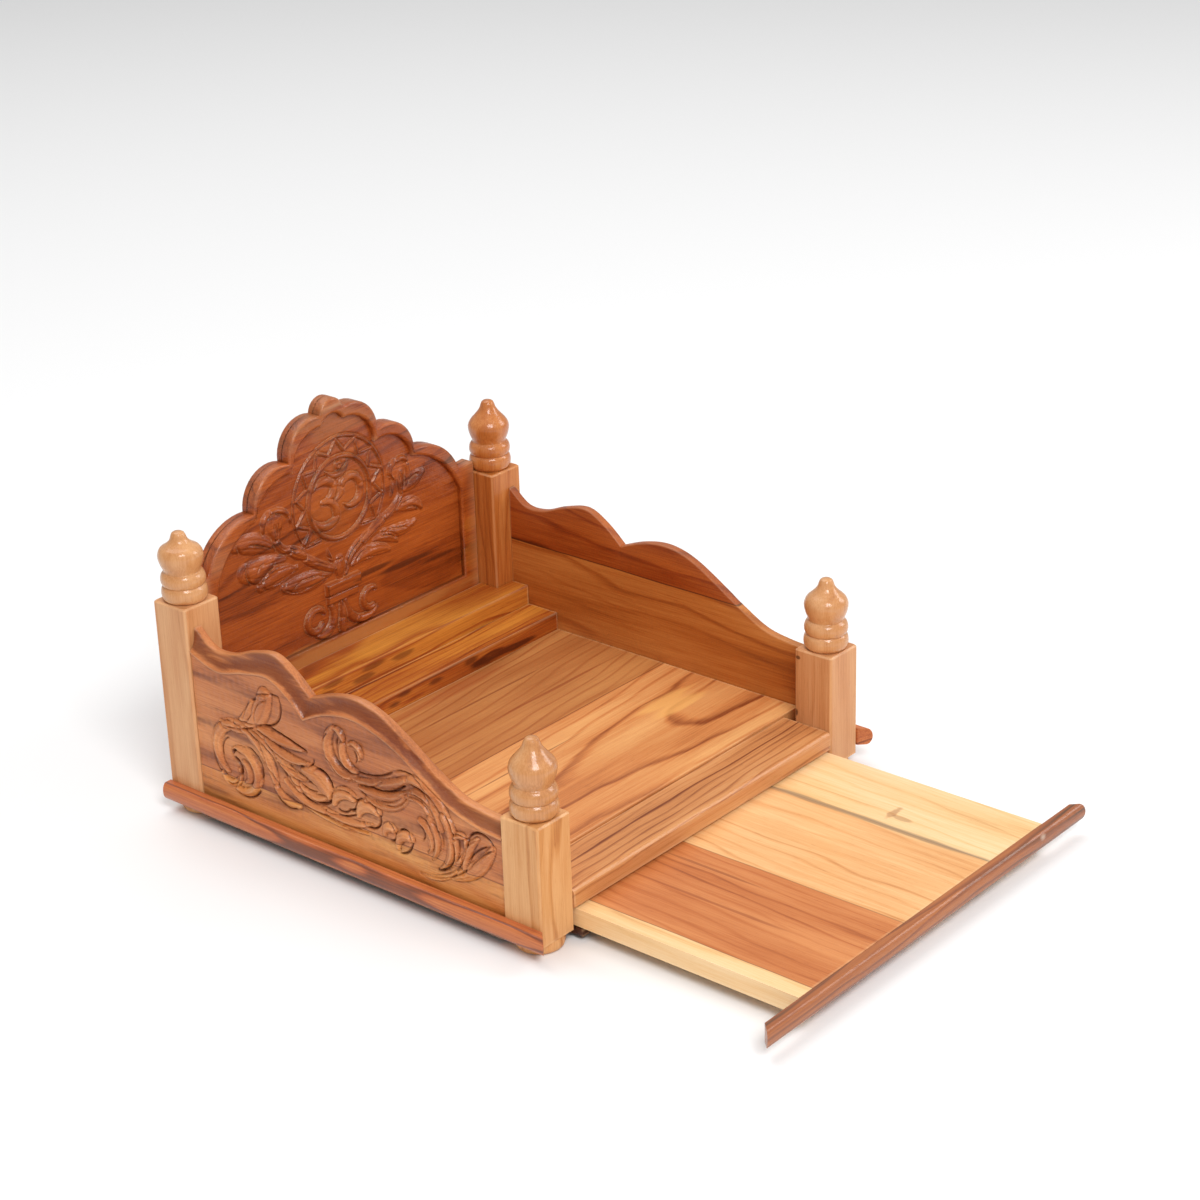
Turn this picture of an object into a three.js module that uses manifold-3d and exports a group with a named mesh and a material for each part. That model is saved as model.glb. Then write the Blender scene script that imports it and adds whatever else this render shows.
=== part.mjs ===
// A small carved wooden home temple: corner posts with turned finials, waved side panels,
// a lobed back panel, a stepped platform and a tray that pulls out to the front.
// Millimetres, +Z up, front towards -Y. The pieces are placed from the point on the ground midway
// between the four posts, and the whole is then moved so that its origin is the middle of its footprint.
import * as THREE from 'three';
import { mergeVertices } from 'three/addons/utils/BufferGeometryUtils.js';
import Module from 'manifold-3d';

const wasm = await Module();
wasm.setup();

// Driving dimensions
const GAP = 0.3;
const WIDTH = 261.6;
const DEPTH = 264.6;
const POST = 24.3;
const POST_CHAMFER = 1.1;
const FOOT_HEIGHT = 6.6;
const FOOT_RADIUS = 12.5;
const BASE_Z = FOOT_HEIGHT + GAP;
const FRONT_POST_TOP = 71.8;
const BACK_POST_TOP = 121.8;
const FINIAL_HEIGHT = 40.6;

const BOTTOM_BOARD = { thickness: 3.7, front: 136, back: 132, notchX: 105, notchY: 107 };
const MOULDING = { top: 16.6, reach: 6.2, rightRaise: 4.4 };
const TRAY = { bottom: 7.3, top: 17.1, halfWidth: 104.4, length: 239.7, fasciaBack: -265.9 };
const RAIL = { bottom: 18.4, top: 28.5, depth: 31.2, round: 3 };
const FLOOR = { bottom: 19.8, top: 29.7, front: -100.6, halfWidth: 120 };
const LEDGE_LOWER = { front: 73.7, top: 40.2 };
const LEDGE_UPPER = { front: 95.9, top: 51.9 };
const SIDE = { inner: 120.3, outer: 129.3, bottom: 7.2, strip: 5.2, bead: 0.7, beadHeight: 1.5 };
const BACK = { front: 121.4, thickness: 10.5, bottom: 7.2, rail: 8.3, sunk: 3.2 };

const OUT_X = WIDTH / 2;
const OUT_Y = DEPTH / 2;
const POST_X = OUT_X - POST / 2;
const POST_Y = OUT_Y - POST / 2;
const INNER_X = OUT_X - POST - GAP;
const INNER_Y = OUT_Y - POST - GAP;

// Ridge of a side panel, from the back post to the cusp and on to the front post, as [y, z].
const RIDGE_REAR = [[INNER_Y, 110.5], [96, 101.8], [82, 101.9], [67, 107.3], [50, 110.6], [36, 104], [24, 94]];
const RIDGE_FRONT = [[24, 94], [10, 99.2], [-4, 102], [-16, 101.2], [-28, 97.2], [-42, 89.4], [-58, 79.3],
  [-76, 69.6], [-92, 66.4], [-INNER_Y, 65.4]];
// Lower line of the cove on the outer face.
const COVE_REAR = [[INNER_Y, 97.4], [88, 91.8], [67, 96.6], [50, 98.8], [36, 91.8], [25.6, 82.2]];
const COVE_FRONT = [[25.6, 82.2], [10, 89.5], [-8, 92.8], [-25, 90], [-42, 83], [-58, 72.9], [-76, 63.2],
  [-92, 58.9], [-INNER_Y, 57.4]];

// Cusps of the back panel's lobed outline and of its sunk field, as [half width, z, rise of the lobe
// that follows]. The lobes stand a little left of the middle, at LOBE_CENTRE, and each outline ends at
// the [half width, z] of its end, measured from the middle. The first lobe crosses the centre.
const LOBE_CENTRE = -3;
const LOBES = [[9.1, 191, 8], [34.2, 171, 8.3], [62, 150.6, 8.8], [97.6, 127.2, 7.2]];
const LOBES_END = [INNER_X, 128, 0];
const FIELD_LOBES = [[8.5, 184.5, 5], [31.4, 164.1, 6.8], [60.3, 146.8, 7.2]];
const FIELD_END = [94.5, 115, 6.2];

// Carving
// A blade is [u0, v0, u1, v1, bend, width, height, start, end]: an arc from one point to the other whose
// middle stands off the chord by bend times its length, to the left, with its ends narrowed to the
// fractions start and end of its width.
// A coil is [u, v, r0, r1, turn0, turn1, width, height, start, end], in degrees anticlockwise.
const SIDE_BLADES = [
  // rear leaf that curls up under the cove
  [98, 58, 48, 73, 0.16, 9, 1.5, 0, 0.4],
  [62, 71, 45, 90, 0.34, 7.7, 1.5, 0.5, 0],
  [74, 72, 60, 89, 0.2, 5.8, 1.1, 0.3, 0],
  // outer arc of the rear scroll, running down into the stem
  [97, 40, 77, 67, -0.3, 6.4, 1.6, 0.3, 1],
  [77, 67, 42, 43, -0.12, 7.7, 1.6, 1, 0],
  // long stem and its upper leaves
  [58, 66, 24, 65, -0.1, 6.4, 1.5, 0.4, 0],
  [50, 58, 23, 61, 0.22, 6.4, 1.4, 0.2, 0],
  [52, 52, 9, 50, -0.13, 7.7, 1.6, 0.3, 0.7],
  [9, 50, 28, 40, -0.42, 5.8, 1.5, 0.7, 0],
  // lobes along the foot of the stem
  [12, 49, -7, 43, -0.38, 5.8, 1.5, 0, 0.8],
  [-7, 43, 3, 39, -0.4, 4.6, 1.3, 0.8, 0],
  [-9, 47, -25, 43, -0.36, 5.4, 1.4, 0, 0.8],
  [-25, 43, -14, 37, -0.4, 4.4, 1.3, 0.8, 0],
  [34, 36, -56, 41, 0.05, 5.1, 1.2, 0.1, 0.3],
  [-30, 42, -36, 31, -0.3, 5.8, 1.3, 0.4, 0],
  [-46, 42, -40, 26, -0.42, 5.8, 1.3, 0.6, 0],
  // pod in the middle and the strands that flow from it
  [9, 81, -11, 61, 0.32, 7.7, 1.9, 0, 0.9],
  [2, 84, -9, 66, 0.3, 5.8, 1.7, 0.1, 0.3],
  [-13, 81, -10, 66, -0.25, 5.1, 1.6, 0, 0.8],
  [-11, 61, -52, 72, 0.1, 6.4, 1.5, 0.9, 0],
  [-18, 69, -52, 74, -0.08, 4.5, 1.1, 0.3, 0],
  [-22, 57, -66, 61, -0.2, 6.4, 1.5, 0.1, 0.7],
  [-66, 61, -75, 47, -0.18, 5.8, 1.6, 0.7, 1],
  [-75, 47, -61, 25, -0.2, 5.8, 1.6, 1, 0],
  [-26, 52, -63, 47, -0.24, 5.8, 1.4, 0.1, 0.7],
  [-63, 47, -58, 26, -0.28, 5.4, 1.4, 0.8, 0],
  [-36, 50, -54, 43, -0.3, 4.6, 1.2, 0.1, 0.5],
  // fan leaf at the front end
  [-79, 49, -105, 51, -0.26, 5.1, 1.2, 0.2, 0.1],
  [-104, 49, -82, 29, 0.12, 5.4, 1.2, 0.1, 0.7],
  [-82, 29, -48, 20, -0.08, 4.6, 1.1, 0.7, 0],
  [-84, 47, -80, 31, 0.16, 4.6, 1.2, 0.3, 0],
];
const SIDE_COILS = [
  [79, 43, 15.5, 15.5, -80, 165, 5.4, 1.6, 0.2, 0.6],
  [83, 41, 12.5, 7, 170, 400, 5.6, 1.7, 0.4, 0.2],
  [75, 46, 5, 3.5, 110, -60, 3.8, 1.3, 0.5, 0.1],
];

// The back panel's carving, as if seen from the front, u along X and v up.
const MEDALLION = { x: 0.4, z: 139.3, ring: 23.6, rayInner: 26.3, rayOuter: 33.6, rim: 35, teeth: 14 };
const OM_BLADES = [
  [-20, 147, -3, 147.5, 0.27, 3.6, 1.6, 0, 1],
  [-3, 147.5, -12.5, 140.2, 0.25, 3.4, 1.5, 1, 0.4],
  [-12.5, 139.5, -3, 127.5, 0.3, 3.6, 1.6, 0.4, 1],
  [-3, 127.5, -22, 135.5, 0.27, 3.6, 1.6, 1, 0],
  [-3, 138.5, 3, 146.5, -0.15, 3.2, 1.5, 0.4, 0.9],
  [3, 146.5, 16.8, 141, 0.35, 3.6, 1.6, 0.9, 1],
  [16.8, 141, 3.5, 134.5, 0.38, 3.4, 1.5, 1, 0.1],
  [-8.7, 157.1, 9, 158.4, -0.3, 3, 1.5, 0, 0],
];
const OM_DOT = [1, 158, 1.5, 1.5, 0, 360, 2.4, 1.5, 1, 1];
const SPRAY_BLADES = [
  // leaves on the left
  [-47, 125, -79, 138, 0.06, 11, 2, 0.35, 0],
  [-42, 117, -74, 118.5, -0.07, 13.5, 2.1, 0.35, 0],
  [-37, 110, -62.5, 107.5, -0.1, 12, 2.1, 0.35, 0],
  [-10, 99.5, -46, 100.5, -0.07, 11.5, 2.2, 0.3, 0],
  // leaves on the right
  [50, 129, 66, 135, 0.1, 7.5, 1.7, 0.4, 0],
  [45, 118, 62.5, 111, 0.12, 7.2, 1.9, 0.4, 0],
  [33, 110, 58, 107.5, 0.12, 8.5, 2, 0.35, 0],
  [10, 98, 41, 101.5, -0.07, 7.8, 2.1, 0.3, 0],
  // right stem and its flower
  [3, 97, 28, 113.5, 0.08, 5.5, 2.3, 0.6, 1],
  [28, 113.5, 48.5, 131, -0.06, 5.5, 2.3, 1, 0.8],
  [40, 139, 44.5, 147, 0.25, 4.5, 2, 0.5, 1],
  [44.5, 147, 56, 138, 0.35, 4.8, 2.1, 1, 0.9],
  [56, 138, 51, 130, 0.15, 4.8, 2.1, 0.9, 0.6],
  [48.5, 131, 48, 144, 0.05, 3.6, 1.7, 0.9, 0],
  // left stem and its flower
  [-6, 99, -35, 118, 0.03, 5, 2.3, 0.6, 1],
  [-37, 121, -50.5, 138, 0.15, 4.5, 2.2, 1, 0.7],
  [-57, 137, -49.5, 147.5, 0.2, 5, 2.1, 0.4, 1],
  [-49.5, 147.5, -37.5, 140, 0.12, 4.8, 2.1, 1, 0.8],
  [-37.5, 140, -38, 131, 0.15, 4.6, 2, 0.9, 0.2],
  [-47, 134, -46, 144, 0.05, 3.6, 1.7, 0.8, 0],
];
const VASE_BLADES = [
  [-1, 78, 8, 63.5, -0.15, 4.5, 2.4, 0.6, 1],
  [8, 63.5, 23, 65.5, -0.12, 4.2, 2.2, 1, 0.5],
  [-12, 78, -14, 65, 0.2, 4.5, 2.4, 0.6, 1],
  [-14, 65, -32, 66, 0.15, 4.2, 2.2, 1, 0.5],
  [-4, 73, -3.5, 61.5, 0.03, 5, 2.4, 0.4, 0.6],
];
const SPRAY_COILS = [
  [19.5, 72, 7.5, 5, -110, 200, 4.6, 2.3, 1, 0.5],
  [-24.5, 72, 8.2, 5.2, 290, -20, 4.8, 2.3, 1, 0.5],
  [-2, 101, 3, 3, 0, 360, 3.2, 1.9, 1, 1],
  [-35.5, 118, 2, 2, 0, 360, 3.2, 2.2, 1, 1],
];
// Blocks of the vase, as [x0, x1, z0, z1, height].
const VASE_BLOCKS = [[-15.5, 11.5, 84.5, 92, 2.7], [-15, 9.5, 79, 84.5, 1.8]];

const WOOD = {
  honey: [0xb8692f, 0.38], pale: [0xd9a865, 0.42], tan: [0xc48a5a, 0.4], red: [0x9c4a20, 0.36],
  brown: [0x8a4a22, 0.36], cream: [0xe2b478, 0.45], dark: [0x5a2f18, 0.55],
};

const degrees = THREE.MathUtils.degToRad;

// Geometry helpers

// A closed geometry from corner points and triangles, turned so that its faces point out.
function closed(points, triangles) {
  let volume = 0;
  for (const [a, b, c] of triangles) {
    volume += points[a].dot(points[b].clone().cross(points[c])) / 6;
  }
  const index = triangles.flatMap(([a, b, c]) => (volume < 0 ? [a, c, b] : [a, b, c]));
  const geometry = new THREE.BufferGeometry();
  geometry.setAttribute('position', new THREE.Float32BufferAttribute(points.flatMap((p) => p.toArray()), 3));
  geometry.setIndex(index);
  return geometry;
}

// Joins equal rings of points into a body, with its two ends closed flat. The function flat gives
// the two coordinates in which an end is cut into triangles.
function loft(rings, flat) {
  const count = rings[0].length;
  const triangles = [];
  for (let i = 0; i + 1 < rings.length; i += 1) {
    for (let j = 0; j < count; j += 1) {
      const next = (j + 1) % count;
      const low = i * count;
      const high = low + count;
      triangles.push([low + j, low + next, high + next], [low + j, high + next, high + j]);
    }
  }
  const last = (rings.length - 1) * count;
  const cap = THREE.ShapeUtils.triangulateShape(rings[0].map(flat), []);
  const end = THREE.ShapeUtils.triangulateShape(rings[rings.length - 1].map(flat), []);
  const sideways = edgeGoesForward(cap, 0, 1);
  triangles.push(...cap.map(([a, b, c]) => (sideways ? [a, c, b] : [a, b, c])));
  const sidewaysEnd = edgeGoesForward(end, 0, 1);
  triangles.push(...end.map(([a, b, c]) => [a, b, c].map((n) => n + last))
    .map(([a, b, c]) => (sidewaysEnd ? [a, b, c] : [a, c, b])));
  return closed(rings.flat(), triangles);
}

// Whether the triangles run along the edge from one corner to the next in that order.
function edgeGoesForward(triangles, from, to) {
  return triangles.some(([a, b, c]) => (a === from && b === to) || (b === from && c === to)
    || (c === from && a === to));
}

function box(x0, x1, y0, y1, z0, z1) {
  const geometry = new THREE.BoxGeometry(x1 - x0, y1 - y0, z1 - z0);
  return geometry.translate((x0 + x1) / 2, (y0 + y1) / 2, (z0 + z1) / 2);
}

// An upright prism over an outline of [x, y] points.
function prism(outline, z0, z1) {
  const ring = (z) => outline.map(([x, y]) => new THREE.Vector3(x, y, z));
  return loft([ring(z0), ring(z1)], (p) => new THREE.Vector2(p.x, p.y));
}

// A turned body about Z from [height, radius] points.
function turned(profile, segments) {
  const points = profile.map(([height, radius]) => new THREE.Vector2(radius, height));
  return new THREE.LatheGeometry(points, segments).rotateX(Math.PI / 2);
}

function solid(geometry) {
  const plain = geometry.clone();
  plain.deleteAttribute('normal');
  plain.deleteAttribute('uv');
  const merged = mergeVertices(plain, 1e-4);
  return new wasm.Manifold(new wasm.Mesh({
    numProp: 3,
    vertProperties: Float32Array.from(merged.attributes.position.array),
    triVerts: Uint32Array.from(merged.index.array),
  }));
}

function surface(body) {
  const mesh = body.getMesh();
  const geometry = new THREE.BufferGeometry();
  geometry.setAttribute('position', new THREE.BufferAttribute(Float32Array.from(mesh.vertProperties), 3));
  geometry.setIndex(Array.from(mesh.triVerts));
  return geometry;
}

// The heights of a smooth line through [place, height] points, read at any place on it.
function heightLine(points) {
  const curve = new THREE.SplineCurve(points.map(([a, b]) => new THREE.Vector2(a, b)));
  const samples = curve.getPoints(points.length * 8);
  return (place) => {
    const k = samples.findIndex((p, i) => i > 0 && (p.x - place) * (samples[i - 1].x - place) <= 0);
    const a = samples[Math.max(k - 1, 0)];
    const b = samples[Math.max(k, 1)];
    return a.y + (b.y - a.y) * ((place - a.x) / (b.x - a.x));
  };
}

// Points of an arc between two points that rises off its chord, to the left of the way from a to b.
function arc(a, b, rise, steps) {
  if (rise === 0) {
    return [a, b];
  }
  const chord = b.clone().sub(a);
  const left = new THREE.Vector2(-chord.y, chord.x).normalize();
  const half = chord.length() / 2;
  const radius = (half * half + rise * rise) / (2 * Math.abs(rise));
  const turn = 2 * Math.asin(Math.min(1, half / radius)) * (Math.abs(rise) > half ? -1 : 1);
  const centre = a.clone().add(b).multiplyScalar(0.5).addScaledVector(left, rise - Math.sign(rise) * radius);
  const start = a.clone().sub(centre);
  return Array.from({ length: steps + 1 }, (_, i) => start.clone()
    .rotateAround(new THREE.Vector2(), (-Math.sign(rise) * turn * i) / steps).add(centre));
}

// Carving helpers

// A ridge along a line of points in the plane of a panel: three-cornered in section, with its foot
// sunk in the ground. The function place turns (u, v, height) into a point of the temple.
function ridge(line, width, height, start, end, place) {
  const foot = -0.7;
  const rings = line.map((point, i) => {
    const before = line[Math.max(i - 1, 0)];
    const after = line[Math.min(i + 1, line.length - 1)];
    const side = new THREE.Vector2(before.y - after.y, after.x - before.x).normalize();
    const t = i / (line.length - 1);
    const swell = (1 - t) * start + t * end + 4 * t * (1 - t) * (1 - (start + end) / 2);
    const share = Math.max(swell, 0.12);
    const half = (width / 2) * share;
    const top = height * (0.35 + 0.65 * share);
    return [
      place(point.x - side.x * half, point.y - side.y * half, foot),
      place(point.x, point.y, top),
      place(point.x + side.x * half, point.y + side.y * half, foot),
    ];
  });
  return threeSided(rings);
}

function threeSided(rings) {
  const triangles = [[0, 2, 1]];
  for (let i = 0; i + 1 < rings.length; i += 1) {
    for (let j = 0; j < 3; j += 1) {
      const a = i * 3 + j;
      const b = i * 3 + ((j + 1) % 3);
      triangles.push([a, b, b + 3], [a, b + 3, a + 3]);
    }
  }
  const last = (rings.length - 1) * 3;
  triangles.push([last, last + 1, last + 2]);
  return closed(rings.flat(), triangles);
}

function blade([u0, v0, u1, v1, bend, width, height, start, end], place) {
  const a = new THREE.Vector2(u0, v0);
  const b = new THREE.Vector2(u1, v1);
  const length = a.distanceTo(b);
  const steps = Math.max(2, Math.min(4, Math.round(length / 7)));
  return ridge(arc(a, b, bend * length, steps), width, height, start, end, place);
}

function coil([u, v, r0, r1, turn0, turn1, width, height, start, end], place) {
  const steps = Math.max(6, Math.round(Math.abs(turn1 - turn0) / 33));
  const whole = Math.abs(turn1 - turn0) >= 360 && r0 === r1;
  const line = Array.from({ length: steps + 1 }, (_, i) => {
    const t = i / steps;
    const angle = degrees(turn0 + (turn1 - turn0) * t * (whole ? 0.999 : 1));
    const radius = r0 + (r1 - r0) * t;
    return new THREE.Vector2(u + radius * Math.cos(angle), v + radius * Math.sin(angle));
  });
  return ridge(line, width, height, start, end, place);
}

function carve(body, ridges) {
  return ridges.reduce((joined, piece) => joined.add(solid(piece)), body);
}

// Pieces

function postGeometry(sideX, sideY, top) {
  const ring = (z, inset) => {
    const h = POST / 2 - inset;
    const c = POST_CHAMFER;
    const corners = [[h, h - c], [h - c, h], [c - h, h], [-h, h - c], [-h, c - h], [c - h, -h], [h - c, -h],
      [h, c - h]];
    return corners.map(([x, y]) => new THREE.Vector3(sideX * POST_X + x, sideY * POST_Y + y, z));
  };
  return loft([ring(BASE_Z, 0), ring(top - 0.9, 0), ring(top, 0.9)], (p) => new THREE.Vector2(p.x, p.y));
}

function finialGeometry(sideX, sideY, postTop, shorter) {
  const neck = 36 - shorter;
  const top = FINIAL_HEIGHT - shorter;
  const profile = [[0, 0], [0, 10.8], [2.4, 12.1], [6.4, 12], [8.5, 10.9], [10.4, 11.8], [13.6, 11.7],
    [16.4, 9.9], [20.5, 11.2], [25, 11.9], [28.4, 10.8], [32 - shorter * 0.5, 7.8], [neck, 5],
    [top - 1.2, 3.7], [top, 2.7], [top, 0]];
  return turned(profile, 12).translate(sideX * POST_X, sideY * POST_Y, postTop + GAP);
}

function footGeometry(sideX, sideY) {
  const profile = [[0, 0], [0, FOOT_RADIUS - 2.2], [1.3, FOOT_RADIUS - 0.4], [3.6, FOOT_RADIUS],
    [FOOT_HEIGHT, FOOT_RADIUS - 0.3], [FOOT_HEIGHT, 0]];
  return turned(profile, 12).translate(sideX * POST_X, sideY * POST_Y, 0);
}

// The half-round base section, as [reach, height] points from the back of the strip.
function bullnose(bottom, top, reach) {
  const half = (top - bottom) / 2;
  const points = [[0, bottom], [reach - 2.6, bottom]];
  for (let i = 1; i < 6; i += 1) {
    const angle = degrees(-90 + i * 30);
    points.push([reach - 2.6 + 2.6 * Math.cos(angle), (bottom + top) / 2 + half * Math.sin(angle)]);
  }
  points.push([reach - 2.6, top], [0, top]);
  return points;
}

// A strip with the base section along Y, on the outside of the posts, mitred at its front end.
function sideMoulding(side, raise) {
  const section = bullnose(BASE_Z, MOULDING.top, MOULDING.reach);
  const ring = (endY) => section.map(([reach, z]) => new THREE.Vector3(side * (OUT_X + GAP * 0.5 + reach),
    endY(reach), z + raise));
  return loft([ring((reach) => -OUT_Y - reach), ring(() => OUT_Y)], (p) => new THREE.Vector2(p.x, p.z));
}

function trayFascia() {
  const section = bullnose(TRAY.bottom, TRAY.top, MOULDING.reach);
  const ring = (way) => section.map(([reach, z]) => new THREE.Vector3(way * (OUT_X + reach),
    TRAY.fasciaBack - reach, z));
  return loft([ring(-1), ring(1)], (p) => new THREE.Vector2(p.y, p.z));
}

function trayBoard() {
  const front = TRAY.fasciaBack + GAP;
  return box(-TRAY.halfWidth, TRAY.halfWidth, front, front + TRAY.length, TRAY.bottom, TRAY.top);
}

// The bottom board, notched round the posts.
function bottomBoard() {
  const { thickness, front, back, notchX, notchY } = BOTTOM_BOARD;
  const corner = (sx, sy, reach) => {
    const points = [[sx * notchX, sy * reach], [sx * notchX, sy * notchY], [sx * OUT_X, sy * notchY]];
    return sx * sy < 0 ? points : points.reverse();
  };
  const outline = [...corner(1, -1, front), ...corner(1, 1, back), ...corner(-1, 1, back),
    ...corner(-1, -1, front)];
  return prism(outline, FOOT_HEIGHT - thickness, FOOT_HEIGHT);
}

// The upper ledge, notched round the back posts.
function upperLedge() {
  const { halfWidth, bottom } = FLOOR;
  const { front, top } = LEDGE_UPPER;
  const back = BACK.front - GAP;
  const outline = [[-halfWidth, front], [halfWidth, front], [halfWidth, INNER_Y], [INNER_X, INNER_Y],
    [INNER_X, back], [-INNER_X, back], [-INNER_X, INNER_Y], [-halfWidth, INNER_Y]];
  return prism(outline, bottom, top);
}

function frontRail() {
  const { bottom, top, depth, round } = RAIL;
  const front = -OUT_Y;
  const section = [[front, bottom], [front, top - round]];
  for (let i = 1; i <= 3; i += 1) {
    const angle = degrees(180 - i * 30);
    section.push([front + round + round * Math.cos(angle), top - round + round * Math.sin(angle)]);
  }
  section.push([front + depth, top], [front + depth, bottom]);
  const ring = (x) => section.map(([y, z]) => new THREE.Vector3(x, y, z));
  return loft([ring(-INNER_X), ring(INNER_X)], (p) => new THREE.Vector2(p.y, p.z));
}

// The section of a side panel where its ridge and its cove's lower line have the given heights.
function sideSection(ridgeZ, coveZ) {
  const { inner, outer, bottom, strip, bead, beadHeight } = SIDE;
  const foot = new THREE.Vector2(outer + 0.2, coveZ + beadHeight);
  const head = new THREE.Vector2(inner + strip, ridgeZ - 0.7);
  const middle = new THREE.Vector2(inner + strip + 0.6, coveZ + 3.6);
  const cove = new THREE.QuadraticBezierCurve(foot, middle, head).getPoints(3);
  return [[inner, bottom], [outer, bottom], [outer, coveZ], [outer + bead, coveZ + 0.4],
    ...cove.map((p) => [p.x, p.y]), [inner + strip - 0.7, ridgeZ], [inner, ridgeZ]];
}

function sidePanel(side) {
  const ridgeRear = heightLine(RIDGE_REAR);
  const ridgeFront = heightLine(RIDGE_FRONT);
  const coveRear = heightLine(COVE_REAR);
  const coveFront = heightLine(COVE_FRONT);
  const [ridgeCusp] = RIDGE_FRONT[0];
  const [coveCusp] = COVE_FRONT[0];
  const steps = 26;
  const stations = Array.from({ length: steps + 1 }, (_, i) => INNER_Y - (2 * INNER_Y * i) / steps)
    .filter((y) => Math.abs(y - ridgeCusp) > 2.5);
  stations.push(ridgeCusp, coveCusp);
  stations.sort((a, b) => b - a);
  const rings = stations.map((y) => {
    const ridgeZ = y > ridgeCusp ? ridgeRear(y) : ridgeFront(y);
    const coveZ = y > coveCusp ? coveRear(y) : coveFront(y);
    return sideSection(ridgeZ, coveZ).map(([x, z]) => new THREE.Vector3(side * x, y, z));
  });
  const board = loft(rings, (p) => new THREE.Vector2(p.x, p.z));
  const place = (u, v, height) => new THREE.Vector3(side * (SIDE.outer + height), u, v);
  const ridges = [...SIDE_BLADES.map((b) => blade(b, place)), ...SIDE_COILS.map((c) => coil(c, place))];
  return surface(carve(solid(board), ridges));
}

// The lobed outline, over the top from right to left by way of its cusps, then down to the bottom.
function lobedOutline(lobes, [endX, endZ, endRise], bottom) {
  const steps = 5;
  const cusps = (side) => [...lobes.map(([half, z]) => new THREE.Vector2(LOBE_CENTRE + side * half, z)),
    new THREE.Vector2(side * endX, endZ)];
  const rises = [...lobes.slice(1).map(([, , rise]) => rise), endRise];
  const right = cusps(1);
  const left = cusps(-1);
  const over = arc(left[0], right[0], lobes[0][2], steps);
  const line = rises.reduce((points, rise, i) => [...arc(left[i + 1], left[i], rise, steps).slice(0, -1),
    ...points, ...arc(right[i], right[i + 1], rise, steps).slice(1)], over);
  return [new THREE.Vector2(-endX, bottom), ...line, new THREE.Vector2(endX, bottom)];
}

// An upright slab over an outline in X and Z, between two depths.
function slab(outline, y0, y1) {
  const ring = (y) => outline.map((p) => new THREE.Vector3(p.x, y, p.y));
  return loft([ring(y0), ring(y1)], (p) => new THREE.Vector2(p.x, p.z));
}

function medallionRidges(place) {
  const { x, z, ring, rayInner, rayOuter, rim, teeth } = MEDALLION;
  const circle = (radius, width, height) => coil([x, z, radius, radius, -90, 270, width, height, 1, 1], place);
  const corner = (i) => {
    const angle = degrees(90 + (i * 180) / teeth);
    const radius = i % 2 === 0 ? rayOuter : rayInner;
    return [x + radius * Math.cos(angle), z + radius * Math.sin(angle)];
  };
  const rays = Array.from({ length: teeth * 2 }, (_, i) => [...corner(i), ...corner(i + 1)])
    .filter(([, v0, , v1]) => Math.min(v0, v1) > z - rayInner * 0.8)
    .map(([u0, v0, u1, v1]) => straight(u0, v0, u1, v1, 1.7, 0.9, place));
  const upperRim = coil([x, z, rim, rim, -35, 215, 1.8, 0.9, 0.4, 0.4], place);
  return [circle(ring, 2.4, 1.5), upperRim, ...rays];
}

function straight(u0, v0, u1, v1, width, height, place) {
  return ridge([new THREE.Vector2(u0, v0), new THREE.Vector2(u1, v1)], width, height, 1, 1, place);
}

function backPanel() {
  const { front, thickness, bottom, rail, sunk } = BACK;
  const field = lobedOutline(FIELD_LOBES, FIELD_END, LEDGE_UPPER.top + rail);
  const board = solid(slab(lobedOutline(LOBES, LOBES_END, bottom), front, front + thickness))
    .subtract(solid(slab(field, front - 1, front + sunk)));
  const ground = (u, v, height) => new THREE.Vector3(u, front + sunk - height, v);
  return surface(carve(board, [
    ...medallionRidges(ground),
    ...[...OM_BLADES, ...SPRAY_BLADES, ...VASE_BLADES].map((item) => blade(item, ground)),
    ...[OM_DOT, ...SPRAY_COILS].map((item) => coil(item, ground)),
    ...VASE_BLOCKS.map(([x0, x1, z0, z1, height]) => box(x0, x1, front + sunk - height, front + sunk + 0.7,
      z0, z1)),
  ]));
}

// Assembly

function piece(name, geometry, [color, roughness]) {
  const mesh = new THREE.Mesh(geometry, new THREE.MeshStandardMaterial({ color, roughness, metalness: 0 }));
  mesh.name = name;
  return mesh;
}

// Each corner as [name, side in X, side in Y, post top, how much shorter its finial is, wood].
const CORNERS = [
  ['front_left', -1, -1, FRONT_POST_TOP, 0, WOOD.pale],
  ['front_right', 1, -1, FRONT_POST_TOP, 1.1, WOOD.tan],
  ['back_left', -1, 1, BACK_POST_TOP, 2.5, WOOD.honey],
  ['back_right', 1, 1, BACK_POST_TOP, 0, WOOD.honey],
];

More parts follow.
